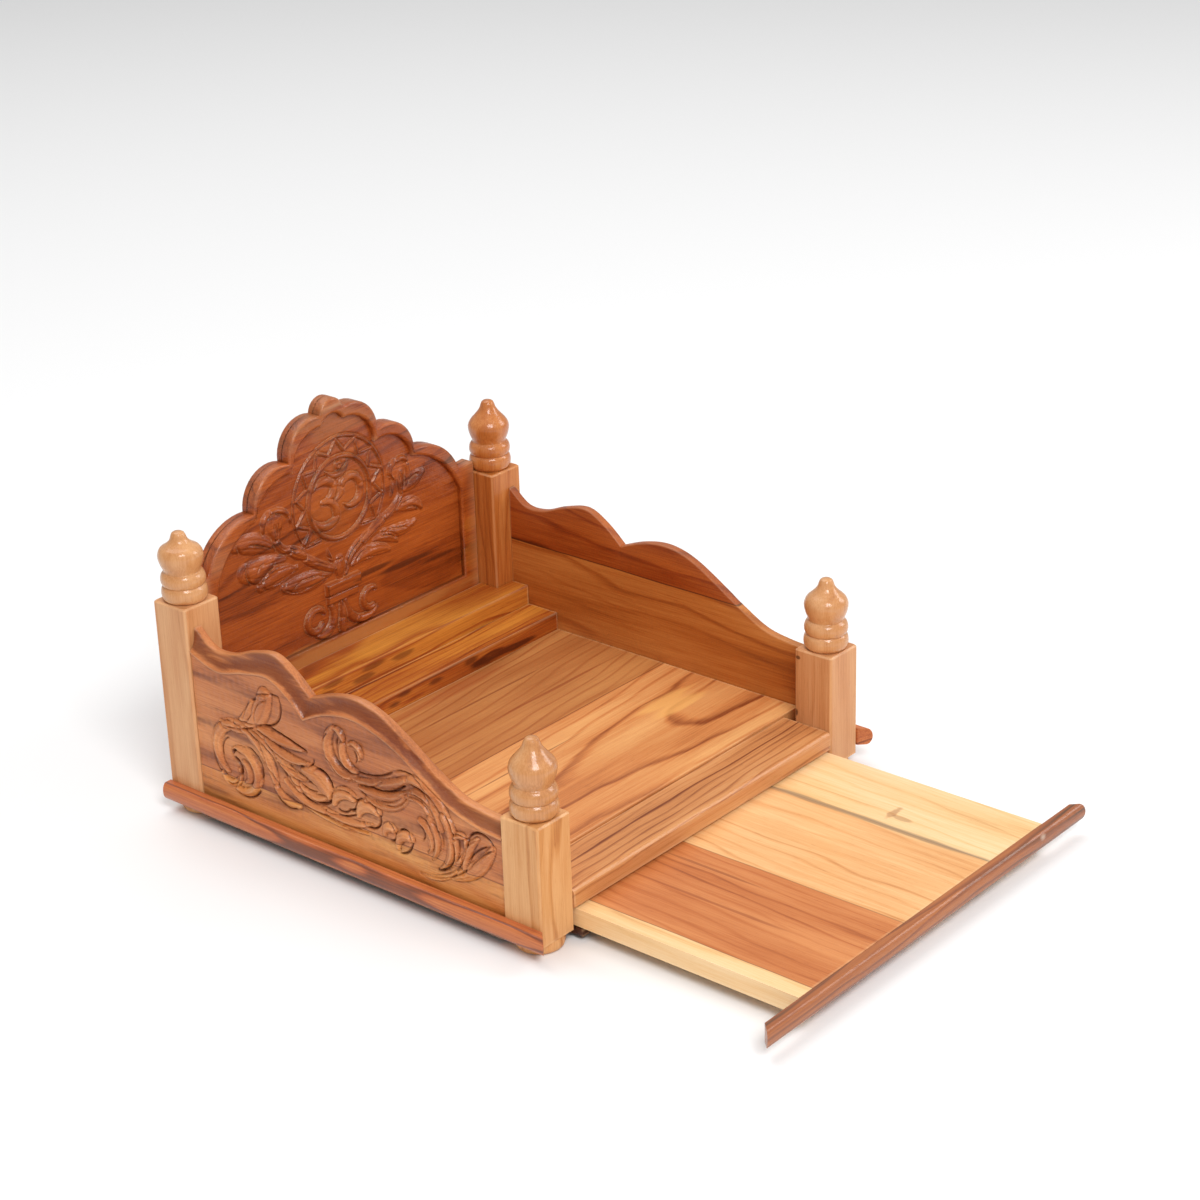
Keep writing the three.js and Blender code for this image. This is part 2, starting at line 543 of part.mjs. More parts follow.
function temple() {
  const group = new THREE.Group();
  for (const [corner, sideX, sideY, top, shorter, wood] of CORNERS) {
    group.add(piece(`post_${corner}`, postGeometry(sideX, sideY, top), wood));
    group.add(piece(`finial_${corner}`, finialGeometry(sideX, sideY, top, shorter), wood));
    group.add(piece(`foot_${corner}`, footGeometry(sideX, sideY), WOOD.pale));
  }
  const { halfWidth, bottom, front, top } = FLOOR;
  const ledgeFront = LEDGE_LOWER.front;
  group.add(
    piece('side_panel_left', sidePanel(-1), WOOD.tan),
    piece('side_panel_right', sidePanel(1), WOOD.tan),
    piece('back_panel', backPanel(), WOOD.red),
    piece('floor_panel', box(-halfWidth, halfWidth, front, ledgeFront - GAP, bottom, top), WOOD.honey),
    piece('ledge_lower', box(-halfWidth, halfWidth, ledgeFront, LEDGE_UPPER.front - GAP, bottom,
      LEDGE_LOWER.top), WOOD.honey),
    piece('ledge_upper', upperLedge(), WOOD.honey),
    piece('front_rail', frontRail(), WOOD.brown),
    piece('moulding_left', sideMoulding(-1, 0), WOOD.red),
    piece('moulding_right', sideMoulding(1, MOULDING.rightRaise), WOOD.red),
    piece('bottom_board', bottomBoard(), WOOD.dark),
    piece('tray_board', trayBoard(), WOOD.cream),
    piece('tray_fascia', trayFascia(), WOOD.brown),
  );
  return group;
}

const whole = new THREE.Group();
const pieces = temple();
const footprint = new THREE.Box3().setFromObject(pieces);
pieces.position.y = -(footprint.min.y + footprint.max.y) / 2;
whole.add(pieces);

export default whole;
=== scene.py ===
"""A carved wooden home temple with its tray pulled out, on a pale floor in soft studio light.

Lengths are millimetres from the point on the ground midway between the four posts, x to the right,
y to the back and z up. The function at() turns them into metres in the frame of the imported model.
"""

import math

import bmesh
import bpy
import numpy as np
from mathutils import Matrix, Vector


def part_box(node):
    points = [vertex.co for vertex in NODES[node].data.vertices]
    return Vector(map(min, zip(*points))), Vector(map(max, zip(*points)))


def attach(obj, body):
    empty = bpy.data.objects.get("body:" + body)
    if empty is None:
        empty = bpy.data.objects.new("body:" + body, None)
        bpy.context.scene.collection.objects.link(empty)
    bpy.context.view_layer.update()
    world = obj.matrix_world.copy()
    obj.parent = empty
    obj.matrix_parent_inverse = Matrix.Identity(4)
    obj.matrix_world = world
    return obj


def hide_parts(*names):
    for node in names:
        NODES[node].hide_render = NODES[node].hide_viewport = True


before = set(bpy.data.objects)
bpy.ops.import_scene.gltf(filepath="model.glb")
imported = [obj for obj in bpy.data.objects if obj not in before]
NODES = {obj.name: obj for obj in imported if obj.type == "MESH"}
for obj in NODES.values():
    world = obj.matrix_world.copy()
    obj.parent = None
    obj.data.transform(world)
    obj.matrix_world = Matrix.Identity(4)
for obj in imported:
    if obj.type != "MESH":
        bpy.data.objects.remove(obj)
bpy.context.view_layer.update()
MM = 0.001

CORNERS = ("front_left", "front_right", "back_left", "back_right")


def middle(node):
    low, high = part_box(node)
    return (low + high) / 2


SHIFT_Y = (middle("post_front_left").y + middle("post_back_left").y) / 2 / MM

# Sizes shared with the solids
POST_TOP = {"front": 71.8, "back": 121.8}
FINIAL_GAP = 0.3
FINIAL_SHORTER = {"front_left": 0, "front_right": 1.1, "back_left": 2.5, "back_right": 0}
FINIAL_LEAN = {"back_left": (-1.6, -0.6)}
FOOT_HEIGHT = 6.6
OUT_X, OUT_Y = 130.8, 132.3
INNER_Y = 107.7
SIDE_INNER, SIDE_OUTER, SIDE_BOTTOM, STRIP = 120.3, 129.3, 7.2, 5.2
MOULDING_BOTTOM, MOULDING_TOP, MOULDING_REACH, RIGHT_RAISE = 6.9, 16.6, 6.2, 4.4
TRAY_BOTTOM, TRAY_TOP, FASCIA_BACK = 7.3, 17.1, -265.9
BACK_FRONT, BACK_THICKNESS, BACK_BOTTOM, SUNK = 121.4, 10.5, 7.2, 3.2
BACK_END = 106.2
# Lobes from the top down: half width and height of their feet, and rise
LOBE_CENTRE = -3
LOBES = [(9.1, 191, 7.6), (34.2, 171, 8.3), (62, 150.6, 8.8), (97.6, 127.2, 7.2)]
LOBES_END = (BACK_END, 128, 0)
FIELD_LOBES = [(8.5, 184.5, 5), (31.4, 164.1, 6.8), (60.3, 146.8, 7.2)]
FIELD_END = (94.5, 115, 6.2)
FIELD_BOTTOM = 60.2

# Tops of the side panels and of their coves, as (y, z), each in two waves that meet in a cusp
RIDGE_REAR = [(INNER_Y, 110.5), (96, 101.8), (82, 101.9), (67, 107.3), (50, 110.6), (36, 104),
              (24, 94)]
RIDGE_FRONT = [(24, 94), (10, 99.2), (-4, 102), (-16, 101.2), (-28, 97.2), (-42, 89.4), (-58, 79.3),
               (-76, 69.6), (-92, 66.4), (-INNER_Y, 65.4)]
COVE_REAR = [(INNER_Y, 97.4), (88, 91.8), (67, 96.6), (50, 98.8), (36, 91.8), (25.6, 82.2)]
COVE_FRONT = [(25.6, 82.2), (10, 89.5), (-8, 92.8), (-25, 90), (-42, 83), (-58, 72.9), (-76, 63.2),
              (-92, 58.9), (-INNER_Y, 57.4)]

# Sizes of the scene's own meshes
MOULDING_GAP = 0.15
NOSE_DEPTH = 2.6
SIDE_LIFT = 1.45  # how much higher the side carving stands than its forms say
MARKS_FROM, MARKS_FADE = 22, 4  # height over which tool marks start on the sides
FIELD_STEP, FIELD_OVERLAP = 0.46, 1.4
SIDE_COLUMNS, SIDE_ROWS, COVE_STEPS = 390, 150, 10
LOBE_STEPS, BLADE_STEPS, CUT_STEPS, PROFILE_STEPS = 12, 14, 8, 5
COIL_LEAST, COIL_DEGREES = 12, 9
TURNED_SEGMENTS, NOSE_STEPS = 72, 20
TINY = 1e-9

# Carving, with u and v for y and z on the sides and for x and z on the back. A blade is (u0, v0,
# u1, v1, bend, width, height, start, end): an arc from one point to the other whose middle stands
# off the chord by bend times its length, to the left; start and end are shares of its width. A
# coil is (u, v, r0, r1, turn0, turn1, width, height, start, end), in degrees anticlockwise.
# Broad rounded forms of the side panels, as blades and coils
SIDE_FORMS = [
    # rear leaf that curls up under the cove
    (89, 64, 53.2, 88.2, 0.2, 11.2, 1.7, 0.15, 0.9),
    (77, 66.5, 63.7, 81.9, 0.12, 5.1, 1.2, 0.2, 0.6),
    # hook at the foot of the scroll and the bands that leave it
    (90.4, 33.5, 77.4, 39.8, 0.5, 3.9, 1.4, 0.6, 0.2),
    (76.3, 66.8, 49.7, 35.6, -0.18, 8.4, 1.7, 0.4, 0.3),
    (67.9, 65.8, 31.4, 39.8, -0.12, 6.7, 1.6, 0.4, 0.3),
    (49.7, 37.7, 32.5, 31.4, 0.15, 5.3, 1.3, 0.5, 0.5),
    # upper leaves of the stem
    (59.5, 68.6, 25.1, 64.8, 0.03, 5.1, 1.5, 0.6, 0),
    (53.9, 63.7, 22.3, 58.8, 0.12, 6.2, 1.5, 0.5, 0.1),
    (46.9, 53.9, 25.8, 48.3, 0.05, 4.8, 1.4, 0.5, 0.3),
    # lobes along the stem
    (27.2, 53.9, 9.7, 45.4, -0.15, 10.5, 1.9, 0.5, 0.7),
    (31.4, 45.4, 11.8, 43.3, 0.2, 4.2, 1.4, 0.2, 0.3),
    (6.9, 41.2, -6.5, 49, -0.25, 7, 1.7, 0.4, 0.8),
    (-10, 39.8, -23.3, 46.9, -0.25, 7.7, 1.6, 0.4, 0.9),
    (-28.2, 34.9, -34.5, 39.8, -0.3, 5.1, 1.4, 0.4, 0.9),
    (-37.3, 30, -46.4, 38.4, -0.3, 5.6, 1.4, 0.4, 0.9),
    # stem
    (42.7, 44, 11.8, 34.9, 0.12, 4.8, 1.4, 0.3, 0.8),
    (11.8, 34.9, -19.8, 37.7, 0.08, 4.2, 1.3, 0.8, 0.2),
    (31.4, 33.5, -17.7, 31.4, 0.04, 3.1, 0.9, 0.1, 0.2),
    # pod in the middle and the strands that flow from it
    (4.1, 84.5, -9.3, 61.2, 0.42, 7, 2, 0.5, 0.7),
    (-2.2, 77.4, -10.9, 64.8, 0.25, 5.1, 1.9, 0.6, 0.5),
    (-6.7, 78.8, -13.5, 72.1, -0.45, 3.4, 1.7, 0.5, 0.4),
    (2.2, 85.4, -3, 79.1, -0.2, 3.1, 1.6, 0.6, 0.3),
    (-9.3, 60.2, -48.6, 72.1, 0.06, 4.8, 1.5, 0.5, 0.9),
    (-48.6, 72.1, -72.4, 53.9, -0.2, 5.6, 1.6, 0.9, 1),
    (-12.1, 56.7, -51.4, 65.8, 0.1, 5.1, 1.4, 0.4, 0.9),
    (-51.4, 65.8, -67.5, 51.1, -0.22, 5.1, 1.5, 0.9, 1),
    (-16.3, 52.5, -45.7, 61.6, 0.18, 4.8, 1.3, 0.2, 0.7),
    (-45.7, 61.6, -61.9, 52.5, -0.25, 4.5, 1.4, 0.7, 0.8),
    # sweep at the front end
    (-70.3, 58.1, -64.7, 27.2, -0.25, 7.3, 1.8, 0.8, 0.1),
    (-60.5, 53.9, -60.5, 31.4, -0.22, 5.6, 1.6, 0.8, 0.1),
    (-53.5, 51.1, -57.7, 34.2, -0.3, 4.8, 1.5, 0.7, 0.1),
    # fan leaf
    (-76.6, 49, -84.3, 50.4, -0.2, 4.2, 1.3, 0.4, 0.6),
    (-77.3, 35.6, -84.3, 49.7, 0.2, 4.8, 1.4, 0.3, 0.6),
    (-71, 25.1, -101.9, 50.8, 0.1, 8.4, 1.5, 0.2, 0.4),
    (-82.2, 31.4, -92, 53.2, -0.1, 4.8, 1.4, 0.3, 0.4),
    (-51.4, 20.9, -76.6, 30, 0.12, 2.8, 0.9, 0, 0.5),
]
SIDE_COILS = [
    (75.2, 39.1, 12.3, 12.3, 60, 290, 5.9, 1.7, 0.3, 0.5),
    (75.6, 37.7, 7.3, 5.6, 110, 250, 4.8, 1.2, 0.6, 0.2),
    (77.4, 47.6, 18, 14.7, 125, -55, 7.3, 1.7, 0.5, 0.3),
]
# Cut lines, as (u0, v0, u1, v1, bend, depth), and half width where it differs from the usual
SIDE_CUT, SPRAY_CUT = 0.43, 0.38
SIDE_CUTS = [
    (59.2, 87.3, 42.4, 90.3, -0.08, 0.9), (56.7, 71, 43.2, 90.1, 0.28, 1.17, 0.52),
    (87.6, 63, 56.7, 71, 0.08, 0.81), (58.4, 85.4, 70, 70.4, 0.15, 0.72),
    (50.4, 86.8, 60.2, 72.1, 0.2, 0.72), (81.2, 44.7, 77.4, 35.6, -0.35, 2.16, 0.78),
    (77.4, 35.6, 86.8, 30, -0.3, 1.44, 0.61), (81.9, 46.9, 76.3, 49.4, -0.3, 2.16, 0.78),
    (70, 53.9, 61.6, 36.3, -0.3, 1.35, 0.61), (61.6, 36.3, 81.9, 26.1, -0.3, 0.9, 0.52),
    (95.3, 48.3, 89, 31.4, 0.2, 0.72), (94.6, 51.1, 76.3, 65.8, -0.25, 0.72),
    (89, 44, 83.3, 56, -0.2, 0.72), (76.3, 65.8, 53.9, 48.3, -0.2, 0.99),
    (53.9, 48.3, 47.6, 37, -0.1, 0.9), (69.3, 65.8, 46.2, 52.5, -0.15, 0.99),
    (46.2, 52.5, 41.2, 45.4, -0.1, 1.44, 0.61), (62.3, 58.1, 51.1, 35.6, -0.1, 0.63, 0.4),
    (49.7, 32.8, 34.2, 30, 0.2, 0.81), (76.3, 68.6, 53.9, 71.3, 0.01, 0.81),
    (53.9, 71.3, 25.1, 64.8, -0.02, 1.08, 0.52), (53.9, 62, 25.8, 56.4, 0.12, 1.08, 0.52),
    (25.8, 56.4, 20.2, 62.3, 0.2, 0.81), (46.2, 53.6, 31.4, 50.4, 0.01, 0.9),
    (34.2, 49.7, 17.4, 48.3, 0.05, 0.72, 0.4), (39.8, 48.3, 25.8, 41.2, 0.1, 0.99, 0.52),
    (20.2, 56.4, 7.9, 48.3, -0.3, 1.44, 0.61), (7.9, 48.3, 23, 40.5, -0.35, 1.44, 0.61),
    (31.4, 45.4, 18.8, 44, 0.1, 0.72, 0.4), (6.9, 47.6, -6.5, 50.8, -0.15, 0.9),
    (-6.7, 50.4, -3.9, 41, -0.4, 1.44, 0.61), (-3.9, 41, 4.8, 39.1, -0.2, 0.9),
    (-9, 46.9, -16.3, 49.4, -0.2, 0.81), (-16.3, 49.4, -25.4, 44, -0.25, 1.08, 0.52),
    (-25.4, 44, -13.5, 36.7, -0.35, 1.26, 0.52), (-31, 41.9, -35.6, 37.7, -0.3, 1.08),
    (-35.6, 37.7, -31.7, 32.8, -0.3, 1.17, 0.52), (-38.7, 40.5, -47.1, 37.7, -0.3, 0.99),
    (-47.1, 37.7, -37.3, 27.2, -0.2, 1.08, 0.52), (39.8, 46.9, 17.4, 36.3, 0.12, 0.9),
    (17.4, 36.3, -10.7, 41.2, 0.12, 0.9), (31.4, 35.6, -9.3, 30, 0.03, 0.72),
    (6.9, 81.2, 6.2, 65.8, 0.35, 1.17, 0.52), (6.2, 65.8, -10.7, 59.5, 0.2, 1.17, 0.52),
    (1.3, 80.5, -7.9, 65.1, 0.3, 0.99), (-7.2, 79.1, -14.2, 72.1, -0.35, 1.26, 0.52),
    (-9.3, 76.3, -10, 69.3, -0.2, 1.08), (-10.7, 65.1, -37.3, 73.2, 0.1, 0.9),
    (-37.3, 73.2, -64, 63.4, -0.2, 0.9), (-16.3, 59.5, -45.7, 69.3, 0.15, 1.08, 0.52),
    (-10.7, 57.4, -30.3, 65.8, 0.1, 0.72, 0.4), (-45.7, 69.3, -62.6, 61.6, -0.15, 0.9),
    (-30.3, 52.5, -45.7, 61.6, 0.15, 1.08, 0.52), (-45.7, 61.6, -61.2, 57.4, -0.2, 0.9),
    (-12.1, 54.6, -30.3, 52.5, 0.1, 0.72, 0.4), (-64, 63, -75.9, 46.9, -0.2, 1.17, 0.52),
    (-75.9, 46.9, -64, 26.9, -0.22, 1.8, 0.7), (-62.6, 53.9, -60.5, 31.4, -0.25, 1.17, 0.52),
    (-55.6, 48.3, -57, 34.2, -0.3, 0.99), (-52.8, 48.3, -53.9, 39.8, -0.3, 0.9),
    (-76.6, 50.4, -85.7, 49.7, -0.2, 0.9), (-85.7, 50.4, -76.6, 31.4, -0.1, 0.9),
    (-85.7, 51.1, -102.6, 50.4, -0.35, 1.08, 0.52), (-102.6, 50.4, -86.4, 35.6, 0.05, 0.99, 0.52),
    (-86.4, 35.6, -51.4, 20.6, -0.1, 0.81), (-99.1, 51.1, -83.6, 35.6, 0.1, 0.72, 0.4),
    (-92, 52.5, -80.8, 34.2, 0.15, 0.72, 0.4),
]

# Medallion and sprays of the back panel
RING = (0.4, 139.3)
RING_RADIUS, RAY_INNER, RAY_OUTER, RIM, TEETH = 23.6, 26.3, 33.6, 35, 14
OM_BLADES = [
    (-20, 147, -3, 147.5, 0.27, 4.7, 1.84, 0, 1),
    (-3, 147.5, -12.5, 140.2, 0.25, 4.4, 1.72, 1, 0.4),
    (-12.5, 139.5, -3, 127.5, 0.3, 4.7, 1.84, 0.4, 1),
    (-3, 127.5, -22, 135.5, 0.27, 4.7, 1.84, 1, 0),
    (-3, 138.5, 3, 146.5, -0.15, 4.2, 1.72, 0.4, 0.9),
    (3, 146.5, 16.8, 141, 0.35, 4.7, 1.84, 0.9, 1),
    (16.8, 141, 3.5, 134.5, 0.38, 4.4, 1.72, 1, 0.1),
    (-8.7, 157.1, 9, 158.4, -0.3, 3.9, 1.72, 0, 0),
]
SPRAY_FORMS = [
    # leaves on the left
    (-51, 125.4, -77.9, 135.5, -0.08, 12.4, 2.2, 0.3, 0.6),
    (-42.9, 117, -72.6, 118.5, 0.06, 15.5, 2.4, 0.3, 0.75),
    (-35.4, 109.4, -61.9, 107.2, -0.06, 12.5, 2.3, 0.3, 0.6),
    (-9.8, 98.2, -44.8, 100.2, 0.03, 12, 2.3, 0.3, 0.55),
    # left stem, its calyx and flower
    (-6.9, 98.9, -31, 114.5, 0.04, 5.6, 2.3, 0.8, 0.9),
    (-39.8, 120.8, -29.8, 114.5, 0.01, 6.9, 2.7, 0.8, 0.8),
    (-41, 121.4, -49.8, 135.8, 0.18, 5, 2.1, 0.9, 0.8),
    (-48.5, 133.2, -48.5, 145.1, 0.01, 12.5, 1.6, 0.6, 0.7),
    (-57.6, 137, -50.4, 146.7, 0.25, 3.8, 2.1, 0.5, 1),
    (-50.4, 146.7, -38.2, 140.1, 0.15, 3.4, 2, 1, 0.8),
    (-38.2, 140.1, -37.6, 133.9, 0.1, 2.2, 1.8, 0.8, 0.2),
    (-30.4, 119.5, -25.1, 125.8, -0.1, 2.5, 1.7, 0.7, 0.1),
    (-8.8, 104.5, -11.3, 112.6, 0.1, 2.8, 1.6, 0.7, 0.1),
    # bud over the vase
    (-3.5, 93.9, -2.9, 103.2, 0.01, 9.4, 2.2, 0.6, 0.7),
    # right stem and its flower
    (1, 93.9, 16.6, 108.9, 0.15, 5.3, 2.3, 0.6, 1), (16.6, 108.9, 34.8, 117, 0.01, 5.9, 2.4, 1, 1),
    (34.8, 117, 49.1, 128.9, -0.12, 5, 2.3, 1, 0.8),
    (42.6, 136.7, 46, 146.7, 0.4, 3.8, 2.1, 0.5, 1), (46, 146.7, 54.1, 142, 0.3, 3.4, 2.1, 1, 1),
    (54.1, 142, 51.6, 130.1, 0.12, 3.8, 2, 1, 0.6),
    (48.5, 128.2, 48.8, 139.5, 0.02, 5.6, 1.9, 0.9, 0.6),
    (39.8, 127, 41.6, 135.8, -0.1, 2.5, 1.6, 0.5, 0.5),
    # leaves on the right
    (51, 127.6, 66.9, 134.2, 0.02, 9.5, 2, 0.4, 0.4),
    (44.1, 117.5, 63.5, 113, 0.15, 9, 2, 0.3, 0.35),
    (31, 108.9, 57.9, 106.7, -0.1, 8, 2.2, 0.3, 0.35),
    (24.1, 105.4, 42.9, 98.8, 0.12, 6, 2, 0.3, 0.3), (6.6, 96.8, 36, 96.2, 0.12, 9, 2.2, 0.3, 0.35),
]
SPRAY_CUTS = [
    (-78, 137.5, -69.8, 126.7, -0.15, 1.2, 0.45), (-70.1, 134.2, -53.8, 126.7, 0.04, 1.2, 0.39),
    (-65.4, 133.2, -58.5, 129.5, 0.01, 0.9), (-71.8, 123.1, -62.8, 108.8, -0.28, 1.4, 0.45),
    (-71, 123.9, -61, 125.9, 0.12, 1), (-53.5, 117.3, -41, 114.5, -0.03, 2.2, 0.68),
    (-65.4, 116.1, -59.1, 120.1, 0.2, 0.8), (-61.8, 108.8, -51, 115.1, 0.15, 1.3, 0.39),
    (-51, 115.1, -36.6, 111.4, 0.1, 1), (-61.9, 107.5, -51, 102, -0.15, 1.1),
    (-56, 105.8, -36.6, 109.5, -0.1, 0.9), (-45.1, 100.8, -34.1, 106.9, 0.2, 1.3, 0.39),
    (-34.1, 106.9, -23.5, 104.5, 0.08, 0.8), (-45.4, 99.4, -29.8, 95.4, -0.12, 1.2, 0.39),
    (-29.8, 95.4, -8.5, 95.4, 0.01, 1.2, 0.39), (-39.8, 98.2, -29.8, 100.6, 0.1, 0.8),
    (-29.8, 100.6, -15.4, 97, 0.08, 0.9), (-27.9, 115.1, -8.5, 105.1, 0.05, 1.2, 0.39),
    (-26, 109.5, -12.2, 102.6, 0.03, 0.8), (-39.4, 122, -36, 119.5, 0.01, 1.2),
    (-32.9, 122, -28.5, 117, 0.2, 1.4, 0.45), (-42.2, 117, -34.8, 111.4, -0.15, 2.2, 0.9),
    (-42.9, 122.6, -49.4, 133.2, 0.15, 1.2), (-41, 123.9, -46, 130.8, 0.12, 1),
    (-49.4, 133.2, -49.8, 139.5, -0.03, 1), (-47.2, 132.6, -47.6, 139.5, -0.03, 0.9),
    (-57.9, 135.1, -58.5, 141.7, 0.15, 1.6, 0.51), (-55.4, 141.7, -46, 144.2, 0.3, 1),
    (-38.2, 141.1, -37.4, 133.9, 0.08, 1.5, 0.51), (-7.6, 98.9, -2.9, 103.6, 0.3, 1.1),
    (-2.9, 103.6, 2.4, 100.1, 0.25, 1.1), (2.4, 100.1, -0.4, 93.9, 0.1, 1.1),
    (2.2, 97, 7.9, 106.4, 0.1, 1.3, 0.39), (7.9, 106.4, 26, 117, -0.02, 1.1),
    (26, 117, 39.8, 125.1, 0.05, 1), (11.6, 105.8, 31, 114.5, -0.03, 0.9),
    (31, 114.5, 47.9, 128.2, -0.12, 0.9), (42.6, 141.7, 51, 143.2, 0.25, 1),
    (47.6, 138.9, 48.4, 130.1, 0.01, 1.1), (49.6, 138.9, 50.1, 131.4, 0.01, 1),
    (37.2, 140.4, 41.9, 133.2, 0.2, 1.4, 0.45), (41.9, 133.2, 40.7, 127, 0.1, 1),
    (54.1, 131.4, 62.2, 133.9, 0.05, 1.8, 1.24), (47.2, 119.8, 63.5, 119.8, 0.06, 0.8),
    (51, 117, 62.6, 110.8, 0.15, 1.5, 0.45), (41.6, 113.2, 51.6, 111.7, 0.12, 1),
    (34.8, 108.6, 49.8, 105.4, 0.03, 1.1), (30.4, 106.1, 40.7, 102, 0.12, 1.4, 0.39),
    (8.5, 97, 21, 102.8, 0.15, 1), (16, 97.6, 29.8, 94.2, 0.05, 1),
    (28.5, 102.6, 36, 99.5, 0.05, 0.8), (7.9, 93.9, 31, 92.6, -0.03, 0.9),
]
# Legs of the vase and the drop between them
VASE_BLADES = [
    (-1, 78, 8, 63.5, -0.15, 5, 2.4, 0.6, 1), (8, 63.5, 23, 65.5, -0.12, 4.6, 2.2, 1, 0.5),
    (-12, 78, -14, 65, 0.2, 5, 2.4, 0.6, 1), (-14, 65, -24, 64, 0.15, 4.6, 2.2, 1, 0.5),
    (-4, 78, -3.5, 62, 0.03, 5, 2.4, 0.3, 0.8), (-4.6, 67, -4, 61.2, 0.03, 5.4, 2.6, 0.7, 0.8),
]
# Scrolls of the legs, dot of the sign, ring, and rim over the rays
ROUND_COILS = [
    (18.8, 72.3, 6.6, 5.4, 50, 290, 4, 2.3, 0.6, 0.8),
    (-24.1, 72.6, 7.6, 5.4, 30, 325, 4.2, 2.3, 0.7, 0.8),
    (1, 158, 1.5, 1.5, 0, 360, 2.4, 1.5, 1, 1),
    (RING[0], RING[1], RING_RADIUS, RING_RADIUS, -90, 270, 2.4, 1.5, 1, 1),
    (RING[0], RING[1], RIM, RIM, -35, 215, 1.8, 0.9, 0.4, 0.4),
]
# Body of the vase, as (x0, x1, z0, z1, height)
VASE_BLOCKS = [(-15.5, 11.5, 84.5, 92, 2.7), (-15, 9.5, 79, 84.5, 1.8)]


def at(x, y, z):
    return Vector((x * MM, (y + SHIFT_Y) * MM, z * MM))


# Curves


def arc(a, b, rise, steps):
    """Points of an arc from a to b that rises off its chord by up to half of it, to the left of
    the way from a to b."""
    a, b = np.array(a, float), np.array(b, float)
    if rise == 0:
        return [a, b]
    chord = b - a
    length = np.linalg.norm(chord)
    left = np.array([-chord[1], chord[0]]) / length
    half = length / 2
    radius = (half * half + rise * rise) / (2 * abs(rise))
    turn = 2 * math.asin(min(1, half / radius))
    centre = (a + b) / 2 + left * (rise - math.copysign(radius, rise))
    start = a - centre
    angles = [-math.copysign(1, rise) * turn * i / steps for i in range(steps + 1)]
    return [centre + np.array([start[0] * math.cos(t) - start[1] * math.sin(t),
                               start[0] * math.sin(t) + start[1] * math.cos(t)]) for t in angles]


def smooth_line(points, steps=16):
    """Samples of a smooth curve through the points."""
    p = np.array([points[0], *points, points[-1]], float)
    out = []
    for i in range(1, len(p) - 2):
        for t in np.linspace(0, 1, steps, endpoint=False):
            a, b, c, d = p[i - 1], p[i], p[i + 1], p[i + 2]
            out.append(0.5 * (2 * b + (c - a) * t + (2 * a - 5 * b + 4 * c - d) * t ** 2
                              + (3 * b - a - 3 * c + d) * t ** 3))
    out.append(p[-1])
    return np.array(out)


def height_line(points):
    """The height of the smooth curve through points listed from rear to front, at any place."""
    line = smooth_line(points)[::-1]
    return lambda place: float(np.interp(place, line[:, 0], line[:, 1]))


def lobed(lobes, end, bottom):
    """The lobed outline, from the bottom left over the top to the bottom right."""
    def cusps(side):
        return [(LOBE_CENTRE + side * half, z) for half, z, _ in lobes] + [(side * end[0], end[1])]
    rises = [rise for _, _, rise in lobes[1:]] + [end[2]]
    left, right = cusps(-1), cusps(1)
    line = arc(left[0], right[0], lobes[0][2], LOBE_STEPS)
    for i, rise in enumerate(rises):
        line = (arc(left[i + 1], left[i], rise, LOBE_STEPS)[:-1] + line
                + arc(right[i], right[i + 1], rise, LOBE_STEPS)[1:])
    return [np.array([-end[0], bottom]), *line, np.array([end[0], bottom])]


# Relief

BLADE_NUMBERS = 9
FOOT_HALF, FOOT_LOWERS = 0.6, 0.3  # the line along a ridge's foot
THINNEST, LOWEST = 0.1, 0.35  # least shares of its width and height that a ridge keeps
FLUTE_PLACE, FLUTE_HALF, FLUTE_FROM, FLUTE_FADE = 0.42, 0.45, 1.6, 0.8
CUT_TAPER, CUT_OVERRUN = 6, 0.05
WAVES = 6


def bent(u0, v0, u1, v1, bend, steps):
    return np.array(arc((u0, v0), (u1, v1), bend * math.hypot(u1 - u0, v1 - v0), steps))


def stroke(form):
    """The line of a blade or a coil, with its width, height, start and end."""
    if len(form) == BLADE_NUMBERS:
        return bent(*form[:5], BLADE_STEPS), *form[5:]
    u, v, r0, r1, turn0, turn1, width, height, start, end = form
    t = np.linspace(0, 1, max(COIL_LEAST, int(abs(turn1 - turn0) / COIL_DEGREES)) + 1)
    angle = np.radians(turn0 + (turn1 - turn0) * t)
    radius = r0 + (r1 - r0) * t
    line = np.stack([u + radius * np.cos(angle), v + radius * np.sin(angle)], 1)
    return line, width, height, start, end


def nearest(u, v, line):
    """Distance to a line of points, and how far along it the nearest point lies, from 0 to 1."""
    best = np.full(u.shape, np.inf)
    along = np.zeros(u.shape)
    count = len(line) - 1
    for i in range(count):
        a, d = line[i], line[i + 1] - line[i]
        t = np.clip(((u - a[0]) * d[0] + (v - a[1]) * d[1]) / max(d @ d, TINY), 0, 1)
        dist = np.hypot(u - a[0] - t * d[0], v - a[1] - t * d[1])
        closer = dist < best
        best = np.where(closer, dist, best)
        along = np.where(closer, (i + t) / count, along)
    return best, along


def window(u, v, line, reach):
    return ((u > line[:, 0].min() - reach) & (u < line[:, 0].max() + reach)
            & (v > line[:, 1].min() - reach) & (v < line[:, 1].max() + reach))


